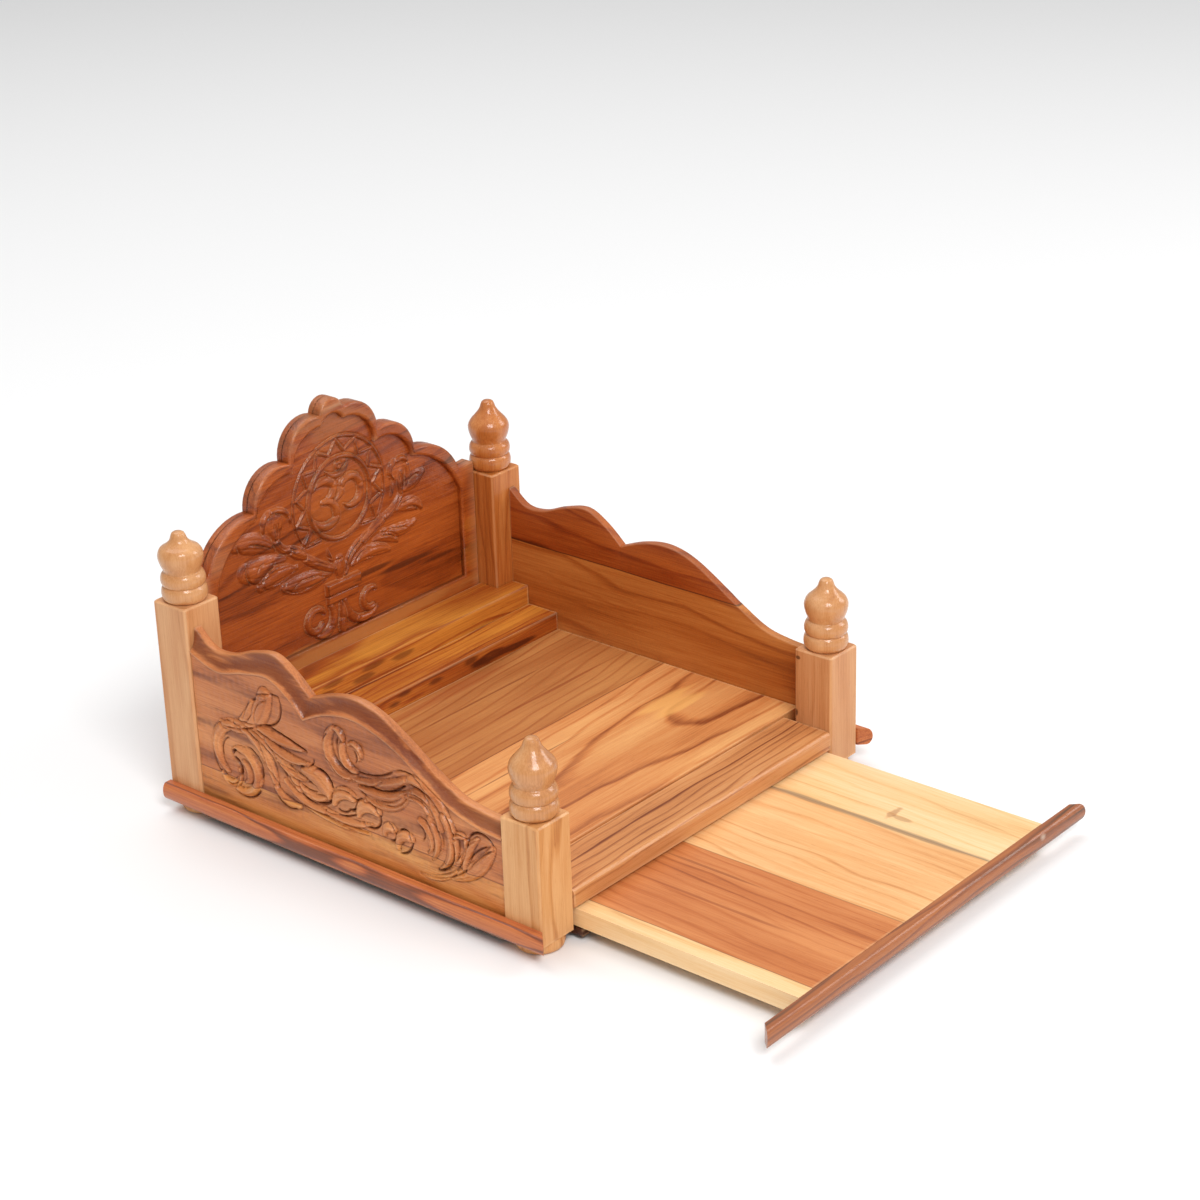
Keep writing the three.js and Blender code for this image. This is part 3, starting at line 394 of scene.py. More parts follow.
def relief(u, v, strokes, cuts=(), cut_half=0.0, power=0.5, dip=0.0, flute=0.0):
    """Height of the carving over the ground: rounded ridges, less the cut lines. A greater power
    gives the ridges softer shoulders; dip is the depth of the line along their feet; flute is the
    depth of the two hollows along a broad ridge, as a share of its height."""
    high = np.zeros(u.shape)
    foot_cut = np.zeros(u.shape)
    for line, width, height, start, end in strokes:
        near = window(u, v, line, width / 2 + 5 * FOOT_HALF)
        d, t = nearest(u[near], v[near], line)
        swell = (1 - t) * start + t * end + 4 * t * (1 - t) * (1 - (start + end) / 2)
        share = np.maximum(swell, THINNEST)
        half = width / 2 * share
        top = height * (LOWEST + (1 - LOWEST) * share)
        h = top * np.clip(1 - (d / half) ** 2, 0, 1) ** power
        if flute:
            broad = np.clip((half - FLUTE_FROM) / FLUTE_FADE, 0, 1)
            hollow = np.exp(-((d - FLUTE_PLACE * half) / FLUTE_HALF) ** 2) * broad
            h = h * (1 - flute * hollow)
        covered = h > high[near]
        foot = np.exp(-((d - half) / FOOT_HALF) ** 2)
        high[near] = np.where(covered, h, high[near] * (1 - FOOT_LOWERS * foot))
        foot_cut[near] = np.where(covered, 0, np.minimum(foot_cut[near], -dip * foot))
    total = high + foot_cut
    for u0, v0, u1, v1, bend, depth, *given in cuts:
        half = given[0] if given else cut_half
        line = bent(u0, v0, u1, v1, bend, CUT_STEPS)
        near = window(u, v, line, 3 * half)
        d, t = nearest(u[near], v[near], line)
        taper = np.clip(CUT_TAPER * np.minimum(t + CUT_OVERRUN, 1 + CUT_OVERRUN - t), 0, 1)
        total[near] -= depth * taper * np.exp(-(d / half) ** 2)
    return total


def tool_marks(u, v, size, depth, seed):
    """Shallow hollows left by a gouge on the ground."""
    rng = np.random.default_rng(seed)
    total = np.zeros(u.shape)
    for _ in range(WAVES):
        angle = rng.uniform(0, math.pi)
        wave = rng.uniform(0.7, 1.4) / size
        phase = rng.uniform(0, 2 * math.pi)
        total += np.sin(2 * math.pi * wave * (u * math.cos(angle) + v * math.sin(angle)) + phase)
    return depth * total / WAVES


# Meshes

TURNED_SHARP, STRIP_SHARP, SIDE_SHARP, BACK_SHARP = 50, 40, 55, 50


def new_object(name, data):
    obj = bpy.data.objects.new(name, data)
    bpy.context.scene.collection.objects.link(obj)
    return obj


def mesh_object(name, vertices, faces, sharp):
    """A smooth-shaded object, crisp where it turns by more than sharp degrees."""
    mesh = bpy.data.meshes.new(name)
    mesh.from_pydata([tuple(v) for v in vertices], [], faces)
    mesh.validate()
    data = bmesh.new()
    data.from_mesh(mesh)
    bmesh.ops.recalc_face_normals(data, faces=data.faces)
    data.to_mesh(mesh)
    data.free()
    for polygon in mesh.polygons:
        polygon.use_smooth = True
    mesh.set_sharp_from_angle(angle=math.radians(sharp))
    return new_object(name, mesh)


def loft(name, rings, sharp):
    """Joins equal closed rings of points, given in mm, into one body with flat ends."""
    count, size = len(rings), len(rings[0])
    vertices = [at(*p) for ring in rings for p in ring]
    faces = []
    for i in range(count - 1):
        for j in range(size):
            k = (j + 1) % size
            faces.append((i * size + j, i * size + k, (i + 1) * size + k, (i + 1) * size + j))
    faces.append(tuple(range(size)))
    faces.append(tuple(range((count - 1) * size, count * size)))
    return mesh_object(name, vertices, faces, sharp)


def turned(name, profile, x, y, z, lean=(0, 0)):
    """A turned body from (height, radius) points; lean moves its top sideways, in mm."""
    top = profile[-1][0]
    rings = []
    for height, radius in profile:
        share = height / top
        ring = []
        for i in range(TURNED_SEGMENTS):
            angle = 2 * math.pi * i / TURNED_SEGMENTS
            ring.append((x + lean[0] * share + radius * math.cos(angle),
                         y + lean[1] * share + radius * math.sin(angle), z + height))
        rings.append(ring)
    return loft(name, rings, TURNED_SHARP)


def bullnose(bottom, top):
    """The half-round base section, as (reach, height) from the back of the strip."""
    half = (top - bottom) / 2
    angles = [math.radians(-90 + 180 * i / NOSE_STEPS) for i in range(NOSE_STEPS + 1)]
    nose = [(MOULDING_REACH - NOSE_DEPTH + NOSE_DEPTH * math.cos(a),
             (bottom + top) / 2 + half * math.sin(a)) for a in angles]
    return [(0, bottom), *nose, (0, top)]


# Materials


def linear(hexcode):
    parts = [int(hexcode[i:i + 2], 16) / 255 for i in (0, 2, 4)]
    return [p / 12.92 if p <= 0.04045 else ((p + 0.055) / 1.055) ** 2.4 for p in parts] + [1.0]


class Graph:
    """A material's node graph, with short names for the nodes that the woods use."""

    def __init__(self, name):
        self.material = bpy.data.materials.new(name)
        self.material.use_nodes = True
        self.tree = self.material.node_tree
        self.shader = next(n for n in self.tree.nodes if n.type == "BSDF_PRINCIPLED")

    def put(self, socket, value):
        if isinstance(value, bpy.types.NodeSocket):
            self.tree.links.new(value, socket)
        else:
            socket.default_value = value

    def math(self, operation, a, b=0.0, clamp=False):
        node = self.tree.nodes.new("ShaderNodeMath")
        node.operation = operation
        node.use_clamp = clamp
        self.put(node.inputs[0], a)
        self.put(node.inputs[1], b)
        return node.outputs[0]

    def add(self, a, b):
        return self.math("ADD", a, b)

    def sub(self, a, b, clamp=False):
        return self.math("SUBTRACT", a, b, clamp)

    def mul(self, a, b):
        return self.math("MULTIPLY", a, b)

    def div(self, a, b):
        return self.math("DIVIDE", a, b)

    def swing(self, noise, strength):
        """Noise moved to swing about zero, times a strength."""
        return self.mul(self.sub(noise, 0.5), strength)

    def vector(self, x, y, z):
        node = self.tree.nodes.new("ShaderNodeCombineXYZ")
        for socket, value in zip(node.inputs, (x, y, z)):
            self.put(socket, value)
        return node.outputs[0]

    def noise(self, vector, scale, detail, rough=0.5):
        node = self.tree.nodes.new("ShaderNodeTexNoise")
        self.put(node.inputs["Vector"], vector)
        node.inputs["Scale"].default_value = scale
        node.inputs["Detail"].default_value = detail
        node.inputs["Roughness"].default_value = rough
        return node.outputs[0]

    def span(self, value, low, high, to_low=0.0, to_high=1.0, smooth=True):
        node = self.tree.nodes.new("ShaderNodeMapRange")
        node.interpolation_type = "SMOOTHSTEP" if smooth else "LINEAR"
        self.put(node.inputs["Value"], value)
        sockets = ("From Min", "From Max", "To Min", "To Max")
        for socket, number in zip(sockets, (low, high, to_low, to_high)):
            node.inputs[socket].default_value = number
        return node.outputs[0]

    def mix(self, share, a, b, blend="MIX"):
        node = self.tree.nodes.new("ShaderNodeMix")
        node.data_type = "RGBA"
        node.blend_type = blend
        self.put(node.inputs[0], share)
        self.put(node.inputs[6], a)
        self.put(node.inputs[7], b)
        return node.outputs[2]

    def ramp(self, value, stops):
        node = self.tree.nodes.new("ShaderNodeValToRGB")
        self.put(node.inputs[0], value)
        elements = node.color_ramp.elements
        while len(elements) < len(stops):
            elements.new(0.5)
        for element, (place, color) in zip(elements, stops):
            element.position = place
            element.color = color
        return node.outputs[0]

    def places(self):
        """x, y and z in millimetres from the middle of the posts."""
        coordinate = self.tree.nodes.new("ShaderNodeTexCoord")
        split = self.tree.nodes.new("ShaderNodeSeparateXYZ")
        self.tree.links.new(coordinate.outputs["Object"], split.inputs[0])
        x = self.mul(split.outputs[0], 1 / MM)
        y = self.sub(self.mul(split.outputs[1], 1 / MM), SHIFT_Y)
        z = self.mul(split.outputs[2], 1 / MM)
        return {"x": x, "y": y, "z": z}


def arris(g, place, node):
    """How near a point on a board is to one of the board's arrises, as a share of the
    lightening that stands partly for wear and partly for painted highlight.
    """
    low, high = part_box(node)
    low, high = low / MM - Vector((0, SHIFT_Y, 0)), high / MM - Vector((0, SHIFT_Y, 0))
    dx, dy, dz = (g.math("MINIMUM", g.sub(place[axis], low[i]), g.sub(high[i], place[axis]))
                  for i, axis in enumerate("xyz"))
    lesser = g.math("MINIMUM", dx, dy)
    greater = g.math("MAXIMUM", dx, dy)
    second = g.math("MAXIMUM", lesser, g.math("MINIMUM", greater, dz))
    return g.span(second, 0.3, 1.5, 0.5, 0.0)


NEXT_ALONG, NEXT_ACROSS = 173.0, 31.0  # how far on in the log the next board of a panel is cut
SEAM_HALF, SEAM_SHADE, SEAM_BEND = 0.15, 0.75, 1.2
TONE_STOPS = (0.0, 0.42, 0.85)
# First tint: painted shade in hollows. Second: wear and painted highlight on ridges and arrises.
CREASE_SHADE_TINT, WEAR_AND_HIGHLIGHT_TINT = "4a2210", "f6cfa0"
GLOSS, SPECULAR, IOR = 0.3, 0.32, 1.45
BUMP_HEIGHT = 0.3


def wood(name, grain, palette, pith, seed, rings, ring_depth, warp=5.0, boards=None, spots=(),
         streaks=0.22, carved=False, polish=0.22, late=0.45, patches=1.1, node=None):
    """Lacquered wood. pith is the heart line of the log, as its two places across the grain in mm
    and their slopes along it; rings is the width of a year ring in mm, ring_depth its darkness
    and warp its wandering; a greater late makes its dark part thinner; boards is (axis, [(place,
    palette, glue)]) with each joint of a glued-up panel; spots are (x, y, z, rx, ry, rz, share,
    colour); streaks and patches are the strengths of the fine and the broad random tone; polish is
    the lacquer's weight; node names a board whose arrises are lightened, partly for wear and
    partly as painted highlight. Without node, ridges are lightened the same way and hollows get
    painted shade."""
    g = Graph(f"wood_{name}")
    place = g.places()
    first, second = (axis for axis in "xyz" if axis != grain)
    along, a, b = place[grain], place[first], place[second]

    # Boards of a panel, each from another part of the log
    shares = []
    if boards:
        axis, joints = boards
        bend = g.noise(g.vector(g.mul(along, 0.02), seed + 3.3, 0), 1.0, 1.0)
        edge = g.add(place[axis], g.swing(bend, SEAM_BEND))
        for joint, _, _ in joints:
            shares.append(g.span(edge, joint - SEAM_HALF, joint + SEAM_HALF, smooth=False))
        for share in shares:
            along = g.add(along, g.mul(share, NEXT_ALONG))
            a = g.add(a, g.mul(share, NEXT_ACROSS))

    # Year rings around the pith
    low = g.noise(g.vector(g.mul(a, 0.03), g.add(g.mul(b, 0.03), seed * 7.1),
                           g.mul(along, 0.009)), 1.0, 2.0)
    fine = g.noise(g.vector(g.mul(a, 0.18), g.mul(b, 0.18), g.add(g.mul(along, 0.02), seed)),
                   1.0, 3.0)
    da = g.sub(a, g.add(g.mul(along, pith[2]), pith[0]))
    db = g.sub(b, g.add(g.mul(along, pith[3]), pith[1]))
    radius = g.math("SQRT", g.add(g.mul(da, da), g.mul(db, db)))
    radius = g.add(radius, g.swing(low, warp * 4))
    radius = g.add(radius, g.swing(fine, warp * 0.35))
    phase = g.math("FRACT", g.div(radius, rings))
    ring = g.mul(g.span(phase, late, 0.88), g.span(phase, 0.86, 1.0, 1.0, 0.0))
    count = g.math("FLOOR", g.div(radius, rings))
    year = g.noise(g.vector(g.mul(count, 3.7), seed, 0), 1.0, 0.0)
    ring = g.mul(ring, g.span(year, 0.35, 0.68, 0.12, 1.0))

    # Fine grain, broad patches and pores, and the tone that comes of all
    slow = g.mul(along, 0.16)
    hair = g.noise(g.vector(a, b, g.add(g.mul(slow, 0.12), seed * 3)), 1.3, 4.0, 0.65)
    broad = g.noise(g.vector(g.mul(a, 0.05), g.mul(b, 0.05),
                             g.add(g.mul(along, 0.006), seed * 1.7)), 1.0, 3.0)
    pores = g.noise(g.vector(g.mul(a, 3.2), g.mul(b, 3.2), slow), 1.0, 2.0)
    pore = g.span(pores, 0.6, 0.72)
    tone = g.add(0.56, g.swing(broad, patches))
    tone = g.add(tone, g.swing(hair, streaks * 3))
    tone = g.sub(tone, g.mul(ring, ring_depth))
    tone = g.sub(tone, g.mul(pore, 0.15), clamp=True)

    def shade(colors):
        return g.ramp(tone, list(zip(TONE_STOPS, map(linear, colors.split()))))

    # Colour, with glue lines, spots, painted shade in hollows, and wear with painted highlight on
    # edges
    color = shade(palette)
    if boards:
        for share, (joint, colors, glue) in zip(shares, joints):
            color = g.mix(share, color, shade(colors))
            line = g.math("ABSOLUTE", g.sub(edge, joint))
            line = g.span(line, SEAM_HALF, 0.5, SEAM_SHADE, 0.0)
            color = g.mix(line, color, linear(glue))
    for sx, sy, sz, rx, ry, rz, share, tint in spots:
        parts = [g.div(g.sub(place[axis], centre), size)
                 for axis, centre, size in zip("xyz", (sx, sy, sz), (rx, ry, rz))]
        squares = [g.mul(part, part) for part in parts]
        distance = g.math("SQRT", g.add(g.add(squares[0], squares[1]), squares[2]))
        distance = g.add(distance, g.swing(fine, 1.8))
        color = g.mix(g.span(distance, 0.45, 1.0, share, 0.0), color, linear(tint))
    if node:
        wear_and_highlight = g.mul(arris(g, place, node), g.span(fine, 0.3, 0.7, 0.3, 1.0))
    else:
        shape = g.tree.nodes.new("ShaderNodeNewGeometry")
        # painted shade: the colour is darkened in hollows and creases
        hollow = g.span(shape.outputs["Pointiness"], 0.42, 0.5, 0.6 if carved else 0.35, 0.0)
        color = g.mix(hollow, color, linear(CREASE_SHADE_TINT), "MULTIPLY")
        wear_and_highlight = g.span(shape.outputs["Pointiness"], 0.51, 0.58, 0.0, 0.4 if carved else 0.15)
    # ridges and arrises lightened, partly for wear and partly as painted highlight
    color = g.mix(wear_and_highlight, color, g.mix(0.5, color, linear(WEAR_AND_HIGHLIGHT_TINT)))
    g.put(g.shader.inputs["Base Color"], color)

    # Lacquer, and the unevenness of its surface
    sheen = g.add(g.mul(hair, 0.22), g.mul(broad, 0.16))
    g.put(g.shader.inputs["Roughness"], g.add(sheen, GLOSS))
    g.shader.inputs["Specular IOR Level"].default_value = SPECULAR
    g.shader.inputs["Coat Weight"].default_value = polish
    g.put(g.shader.inputs["Coat Roughness"], g.span(broad, 0.2, 0.8, 0.05, 0.16))
    g.shader.inputs["IOR"].default_value = IOR
    spot = g.vector(place["x"], place["y"], place["z"])
    marks = g.noise(spot, 0.35 if carved else 0.12, 3.0)
    lacquer = g.noise(spot, 0.9, 2.0)
    depth = g.add(g.mul(hair, 0.35), g.mul(marks, 1.4 if carved else 0.8))
    depth = g.sub(depth, g.mul(pore, 0.25))
    depth = g.add(depth, g.mul(lacquer, 0.6))
    bump = g.tree.nodes.new("ShaderNodeBump")
    bump.inputs["Strength"].default_value = 0.55 if carved else 0.35
    bump.inputs["Distance"].default_value = BUMP_HEIGHT * MM
    g.put(bump.inputs["Height"], depth)
    g.put(g.shader.inputs["Normal"], bump.outputs[0])
    g.put(g.shader.inputs["Coat Normal"], bump.outputs[0])
    return g.material


# Palettes: dark, middle and light
PALE = "a45e2e d09156 e6b27c"
TAN = "9c5a2c cc8e5c e1ae7e"
TURNED = "94542a c5864f dea874"
# Palette of the back right post and finial: partly its own darker tone, partly painted shade
HONEY_AND_SHADE = "74300e b8692c d89050"
AMBER = "72300e ae6024 cc8440"
FLOOR_FRONT = "86401a cc8046 e8ac6c"
FLOOR_REAR = "9c5626 b06c38 c8884c"
RAIL = "7a3c1a c4804a dca46c"
RED = "4c1804 903f10 b85e20"
CREAM = "c58648 ecbe83 f8d6a6"
RUST = "8a4420 bc6c38 d68c54"
ORANGE = "b46c34 e2a468 f2c890"
MOULDED = "6a2208 b0501c d88040"
LEDGE = "5e2206 a8521a e0963a"
UPPER_LEFT = "6e2e10 ba6a36 dc9258"
LOWER_LEFT = "8a3e14 cc7a38 e8a860"
INNER_RIGHT = "421604 8e3a0e b65e22"
# Palette of the board under the tray: its darkness is painted shade
PAINTED_SHADE_DARK = "2a120a 4e2a18 6a3c22"
FASCIA = "32120a 8a4018 b4662c"

POST_KNOTS = [(106.5, -109.6, 34, 2, 1.2, 3.2, 0.85, "3a1a0c"),
              (106.5, -110.4, 67, 1.5, 1.6, 1.2, 0.8, "4a2210")]
# For each corner its slot, pith and seed, then (palette, rings, ring depth, spots) of the post
# and (palette, ring depth) of the finial
CORNER_WOODS = [
    ("front_left", "fl", "wood_pale", (-160, -190, 0.02, 0.03), 1, (PALE, 6, 0.3, ()),
     (TURNED, 0.12)),
    ("front_right", "fr", "wood_tan", (90, -60, 0.03, 0.02), 2, (TAN, 9, 0.16, POST_KNOTS),
     (TURNED, 0.12)),
    ("back_left", "bl", "wood_honey", (-90, 160, 0.03, 0.04), 3, (TAN, 7, 0.2, ()),
     (TURNED, 0.12)),
    # back right: darker palette, partly its own tone and partly painted shade
    ("back_right", "br", "wood_honey", (90, 90, 0.05, 0.03), 4, (HONEY_AND_SHADE, 7, 0.25, ()),
     (HONEY_AND_SHADE, 0.14)),
]
FINIAL_SEED, FINIAL_RINGS, FINIAL_POLISH = 20, 12, 0.8

MATERIALS = {
    "floor_panel": wood(
        "floor", "x", FLOOR_FRONT, (-64, -26, 0.05, 0.045), 5, 6, 0.5, 3.5,
        boards=("y", [(-6, FLOOR_REAR, "6a3014")]), late=0.62, node="floor_panel", spots=[
            (0, 66, 30, 110, 5, 9, 0.45, "a04a1c"), (10, 46, 30, 100, 0.9, 9, 0.6, "7a3410"),
            (60, 22, 30, 55, 1.4, 9, 0.6, "8a3a14"), (-60, 12, 30, 50, 0.8, 9, 0.5, "7a3410"),
            (82, -42, 30, 26, 13, 9, 0.6, "eeb264"), (-20, -26, 30, 70, 0.7, 9, 0.6, "6a2c10")]),
    "ledge_lower": wood(
        "ledge_low", "x", LEDGE, (60, 30, 0.02, 0.03), 6, 4, 0.55, 4, node="ledge_lower",
        spots=[(x, 73.7, z, 9, 3, 2.8, 0.7, "541e06") for x, z in (
            (-72, 33.5), (-66, 37), (-45, 35), (-38, 38.5), (-17, 34), (-9, 37.5), (16, 36),
            (45, 37), (52, 33.5))]),
    "ledge_upper": wood(
        "ledge_up", "x", LEDGE, (110, 20, 0.02, 0.02), 16, 5, 0.5, 4, node="ledge_upper",
        spots=[(x, 95.9, z, 11, 3, 2.4, 0.6, "5e2408") for x, z in (
            (-78, 44), (-68, 48), (-49, 45.5), (-41, 49), (-18, 44.5), (-10, 48.5), (14, 46.5))]),
    "front_rail": wood(
        "rail", "x", RAIL, (-150, 0, 0.01, 0.02), 7, 4, 0.5, 3, late=0.55, node="front_rail"),
    "side_left": wood(
        "side_left", "y", LOWER_LEFT, (160, 60, 0.03, 0.05), 8, 6, 0.25, 5,
        boards=("z", [(33, UPPER_LEFT, "7a3a1a")]), carved=True, polish=0.35,
        spots=[(-127.1, 0, 85, 2.4, 900, 900, 0.66, "5c1c06")]),
    "side_right": wood(
        "side_right", "y", AMBER, (100, 20, 0.03, 0.05), 9, 11, 0.36, 6,
        boards=("z", [(79, INNER_RIGHT, "3a160a")]), carved=True, late=0.6),
    "back": wood(
        "back", "x", RED, (190, 60, 0.02, 0.16), 10, 6, 0.34, 6, carved=True, streaks=0.36,
        polish=0.4, spots=[
            (0.4, 124.6, 139.3, 27, 6, 27, 0.4, "b8662a"), (24, 122, 88, 20, 9, 2, 0.65, "3a1206"),
            (50, 122, 83.4, 26, 9, 2, 0.7, "3a1206"), (78, 122, 78.5, 22, 9, 2, 0.65, "3a1206"),
            (101, 122, 91, 6, 9, 9, 0.4, "c87a2c"), (101, 122, 70, 8, 9, 16, 0.45, "b8702c"),
            (0, 121, 54, 130, 5, 8, 0.85, "bc783c"), (-3, 124, 184, 34, 14, 20, 0.3, "c07c42")]),
    "moulding": wood(
        "moulding", "y", MOULDED, (150, -20, 0.01, 0.02), 11, 3, 0.6, 2, streaks=0.3,
        polish=0.45, patches=0.35),
    # the board under the tray is coloured dark as painted shade
    "bottom_board": wood(
        "bottom", "x", PAINTED_SHADE_DARK, (0, -30, 0.01, 0.02), 12, 6, 0.3, node="bottom_board"),
    "tray_board": wood(
        "tray", "y", CREAM, (-160, -30, 0.03, 0.02), 13, 8, 0.3, 5, late=0.6,
        node="tray_board", boards=(
            "x", [(-94, RUST, "8a5a38"), (-20, ORANGE, "9a6a40"), (55, CREAM, "8a7a64")]), spots=[
            (69, -199, 17.1, 9, 2.5, 3, 0.5, "9a5a30"), (66, -206, 17.1, 2.5, 6, 3, 0.45, "9a6a48"),
            (55, -180, 17.1, 2.6, 130, 3, 0.75, "94785a"),
            (-60, -180, 17.1, 1.4, 60, 3, 0.5, "8a3c18"),
            (-34, -160, 17.1, 1.2, 40, 3, 0.5, "7a3414")]),
    "fascia": wood(
        "fascia", "x", FASCIA, (-250, -10, 0.01, 0.01), 14, 3, 0.7, 2, polish=0.4,
        spots=[(96, -271, 14, 5, 2, 2.4, 0.5, "f0dcc8")]),
    "foot": wood("foot", "z", PALE, (-150, -150, 0.02, 0.03), 15, 6, 0.3),
}
SLOTS = {look: slot for slot, looks in (
    ("wood_honey", "floor_panel ledge_lower ledge_upper"), ("wood_brown", "front_rail fascia"),
    ("wood_tan", "side_left side_right"), ("wood_red", "back moulding"),
    ("wood_dark", "bottom_board"), ("wood_cream", "tray_board"), ("wood_pale", "foot"),
) for look in looks.split()}
for corner, short, slot, pith, seed, (palette, rings, depth, spots), figure in CORNER_WOODS:
    MATERIALS[f"post_{corner}"] = wood(f"post_{short}", "z", palette, pith, seed, rings, depth,
                                       spots=spots, node=f"post_{corner}")
    MATERIALS[f"finial_{corner}"] = wood(f"finial_{short}", "z", figure[0], pith,
                                         FINIAL_SEED + seed, FINIAL_RINGS, figure[1],
                                         polish=FINIAL_POLISH)
    SLOTS[f"post_{corner}"] = SLOTS[f"finial_{corner}"] = slot


def finish_piece(obj, look, body, *nodes):
    """Gives a piece its wood; one that names nodes rides a body and replaces them."""
    obj.data.materials.clear()
    obj.data.materials.append(MATERIALS[look])
    if nodes:
        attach(obj, body)
        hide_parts(*nodes)


# Pieces


def finial(corner):
    short = FINIAL_SHORTER[corner]
    low_ring = [(0, 10.6), (1.2, 11.6), (2.8, 12.1), (5, 12.15), (7, 11.7), (8.3, 10.8)]
    high_ring = [(8.4, 10.7), (9.3, 11.4), (11, 11.9), (13, 11.8), (14.8, 11.1), (16.2, 9.8)]
    bulb = [(16.4, 9.7), (18, 10.2), (20.5, 11.2), (24, 11.95), (26.5, 11.7), (29, 10.4),
            (32 - short / 2, 7.8), (34.3 - short * 0.8, 5.9), (36.4 - short, 4.7),
            (38.6 - short, 3.9), (39.8 - short, 3.3)]
    profile = [tuple(p) for part in (low_ring, high_ring, bulb)
               for p in smooth_line(part, PROFILE_STEPS)]
    profile += [(40.4 - short, 2.4), (40.6 - short, 0.2)]
    z = POST_TOP[corner.split("_")[0]] + FINIAL_GAP
    post = middle(f"post_{corner}") / MM
    lean = FINIAL_LEAN.get(corner, (0, 0))
    obj = turned(f"finial_{corner}", profile, post.x, post.y - SHIFT_Y, z, lean)
    finish_piece(obj, f"finial_{corner}", "temple", f"finial_{corner}")


def foot(corner):
    swell = [(0, 10.4), (0.9, 11.7), (2.4, 12.4), (4.2, 12.46), (6, 12.2)]
    profile = [(0, 10.2), *smooth_line(swell, PROFILE_STEPS), (FOOT_HEIGHT, 12.0)]
    post = middle(f"post_{corner}") / MM
    obj = turned(f"foot_{corner}", [tuple(p) for p in profile], post.x, post.y - SHIFT_Y, 0)
    finish_piece(obj, "foot", "temple", f"foot_{corner}")


def side_panel(name, side, look):
    """Each ring runs up the carved outside, in through the cove, over the ridge and down inside."""
    ridge_rear, ridge_front = height_line(RIDGE_REAR), height_line(RIDGE_FRONT)
    cove_rear, cove_front = height_line(COVE_REAR), height_line(COVE_FRONT)
    ridge_cusp, cove_cusp = RIDGE_FRONT[0][0], COVE_FRONT[0][0]
    spaced = np.round(np.linspace(-INNER_Y, INNER_Y, SIDE_COLUMNS), 3)
    stations = sorted({*spaced, ridge_cusp, cove_cusp})
    level = np.linspace(0, 1, SIDE_ROWS)
    ridges = np.array([ridge_rear(y) if y > ridge_cusp else ridge_front(y) for y in stations])
    coves = np.array([cove_rear(y) if y > cove_cusp else cove_front(y) for y in stations])
    y_grid = np.repeat(np.array(stations)[:, None], SIDE_ROWS, 1)
    z_grid = SIDE_BOTTOM + level[None, :] * (coves[:, None] - SIDE_BOTTOM)
    strokes = [stroke(form) for form in SIDE_COILS + SIDE_FORMS]
    height = relief(y_grid, z_grid, strokes, SIDE_CUTS, SIDE_CUT, 0.7, 0.25, 0.24)
    ground = np.clip((z_grid - MARKS_FROM) / MARKS_FADE, 0, 1)
    height = height * SIDE_LIFT + ground * tool_marks(y_grid, z_grid, 4.5, 0.16, 4)
    rim = SIDE_INNER + STRIP
    rings = []
    for i, y in enumerate(stations):
        ridge, cove = ridges[i], coves[i]
        foot_point = np.array([SIDE_OUTER + 0.2, cove + 1.5])
        head = np.array([rim, ridge - 0.9])
        pull = np.array([rim + 0.6, cove + 3.6])
        section = [(SIDE_INNER, SIDE_BOTTOM)]
        section += [(SIDE_OUTER + height[i, j], z_grid[i, j]) for j in range(SIDE_ROWS)]
        section += [(SIDE_OUTER + 0.5, cove + 0.15), (SIDE_OUTER + 0.7, cove + 0.5),
                    (SIDE_OUTER + 0.6, cove + 1.1)]
        section += [tuple((1 - t) ** 2 * foot_point + 2 * t * (1 - t) * pull + t ** 2 * head)
                    for t in np.linspace(0, 1, COVE_STEPS)]
        section += [(rim - 0.3, ridge - 0.3), (rim - 1, ridge), (SIDE_INNER + 0.9, ridge),
                    (SIDE_INNER + 0.2, ridge - 0.3), (SIDE_INNER, ridge - 1)]
        section += [(SIDE_INNER, SIDE_BOTTOM + (ridge - 1 - SIDE_BOTTOM) * share)
                    for share in (0.75, 0.5, 0.25)]
        rings.append([(side * x, y, z) for x, z in section])
    finish_piece(loft(name, rings, SIDE_SHARP), look, "temple", name)


def mouldings():
    """The half-round strips: one on each side, mitred at the front, and the tray's fascia."""
    back = OUT_X + MOULDING_GAP
    for name, side, raised in (("moulding_left", -1, 0), ("moulding_right", 1, RIGHT_RAISE)):
        section = bullnose(MOULDING_BOTTOM + raised, MOULDING_TOP + raised)
        rings = [[(side * (back + r), OUT_Y, z) for r, z in section]]
        rings += [[(side * (back + r * share), -OUT_Y - r * share - inset, z) for r, z in section]
                  for share, inset in ((1, 0), (0.94, 0.4))]
        finish_piece(loft(name, rings, STRIP_SHARP), "moulding", "temple", name)
    section = bullnose(TRAY_BOTTOM, TRAY_TOP)
    rings = [[(way * (OUT_X + r), FASCIA_BACK - r, z) for r, z in section] for way in (-1, 1)]
    finish_piece(loft("tray_fascia", rings, STRIP_SHARP), "fascia", "tray", "tray_fascia")


def inside_outline(u, v, outline):
    """Which points lie inside a closed outline."""
    found = np.zeros(u.shape, bool)
    count = len(outline)
    for i in range(count):
        (x0, z0), (x1, z1) = outline[i], outline[(i + 1) % count]
        crosses = (z0 > v) != (z1 > v)
        where = x0 + (v - z0) * (x1 - x0) / ((z1 - z0) if z1 != z0 else TINY)
        found ^= crosses & (u < where)
    return found


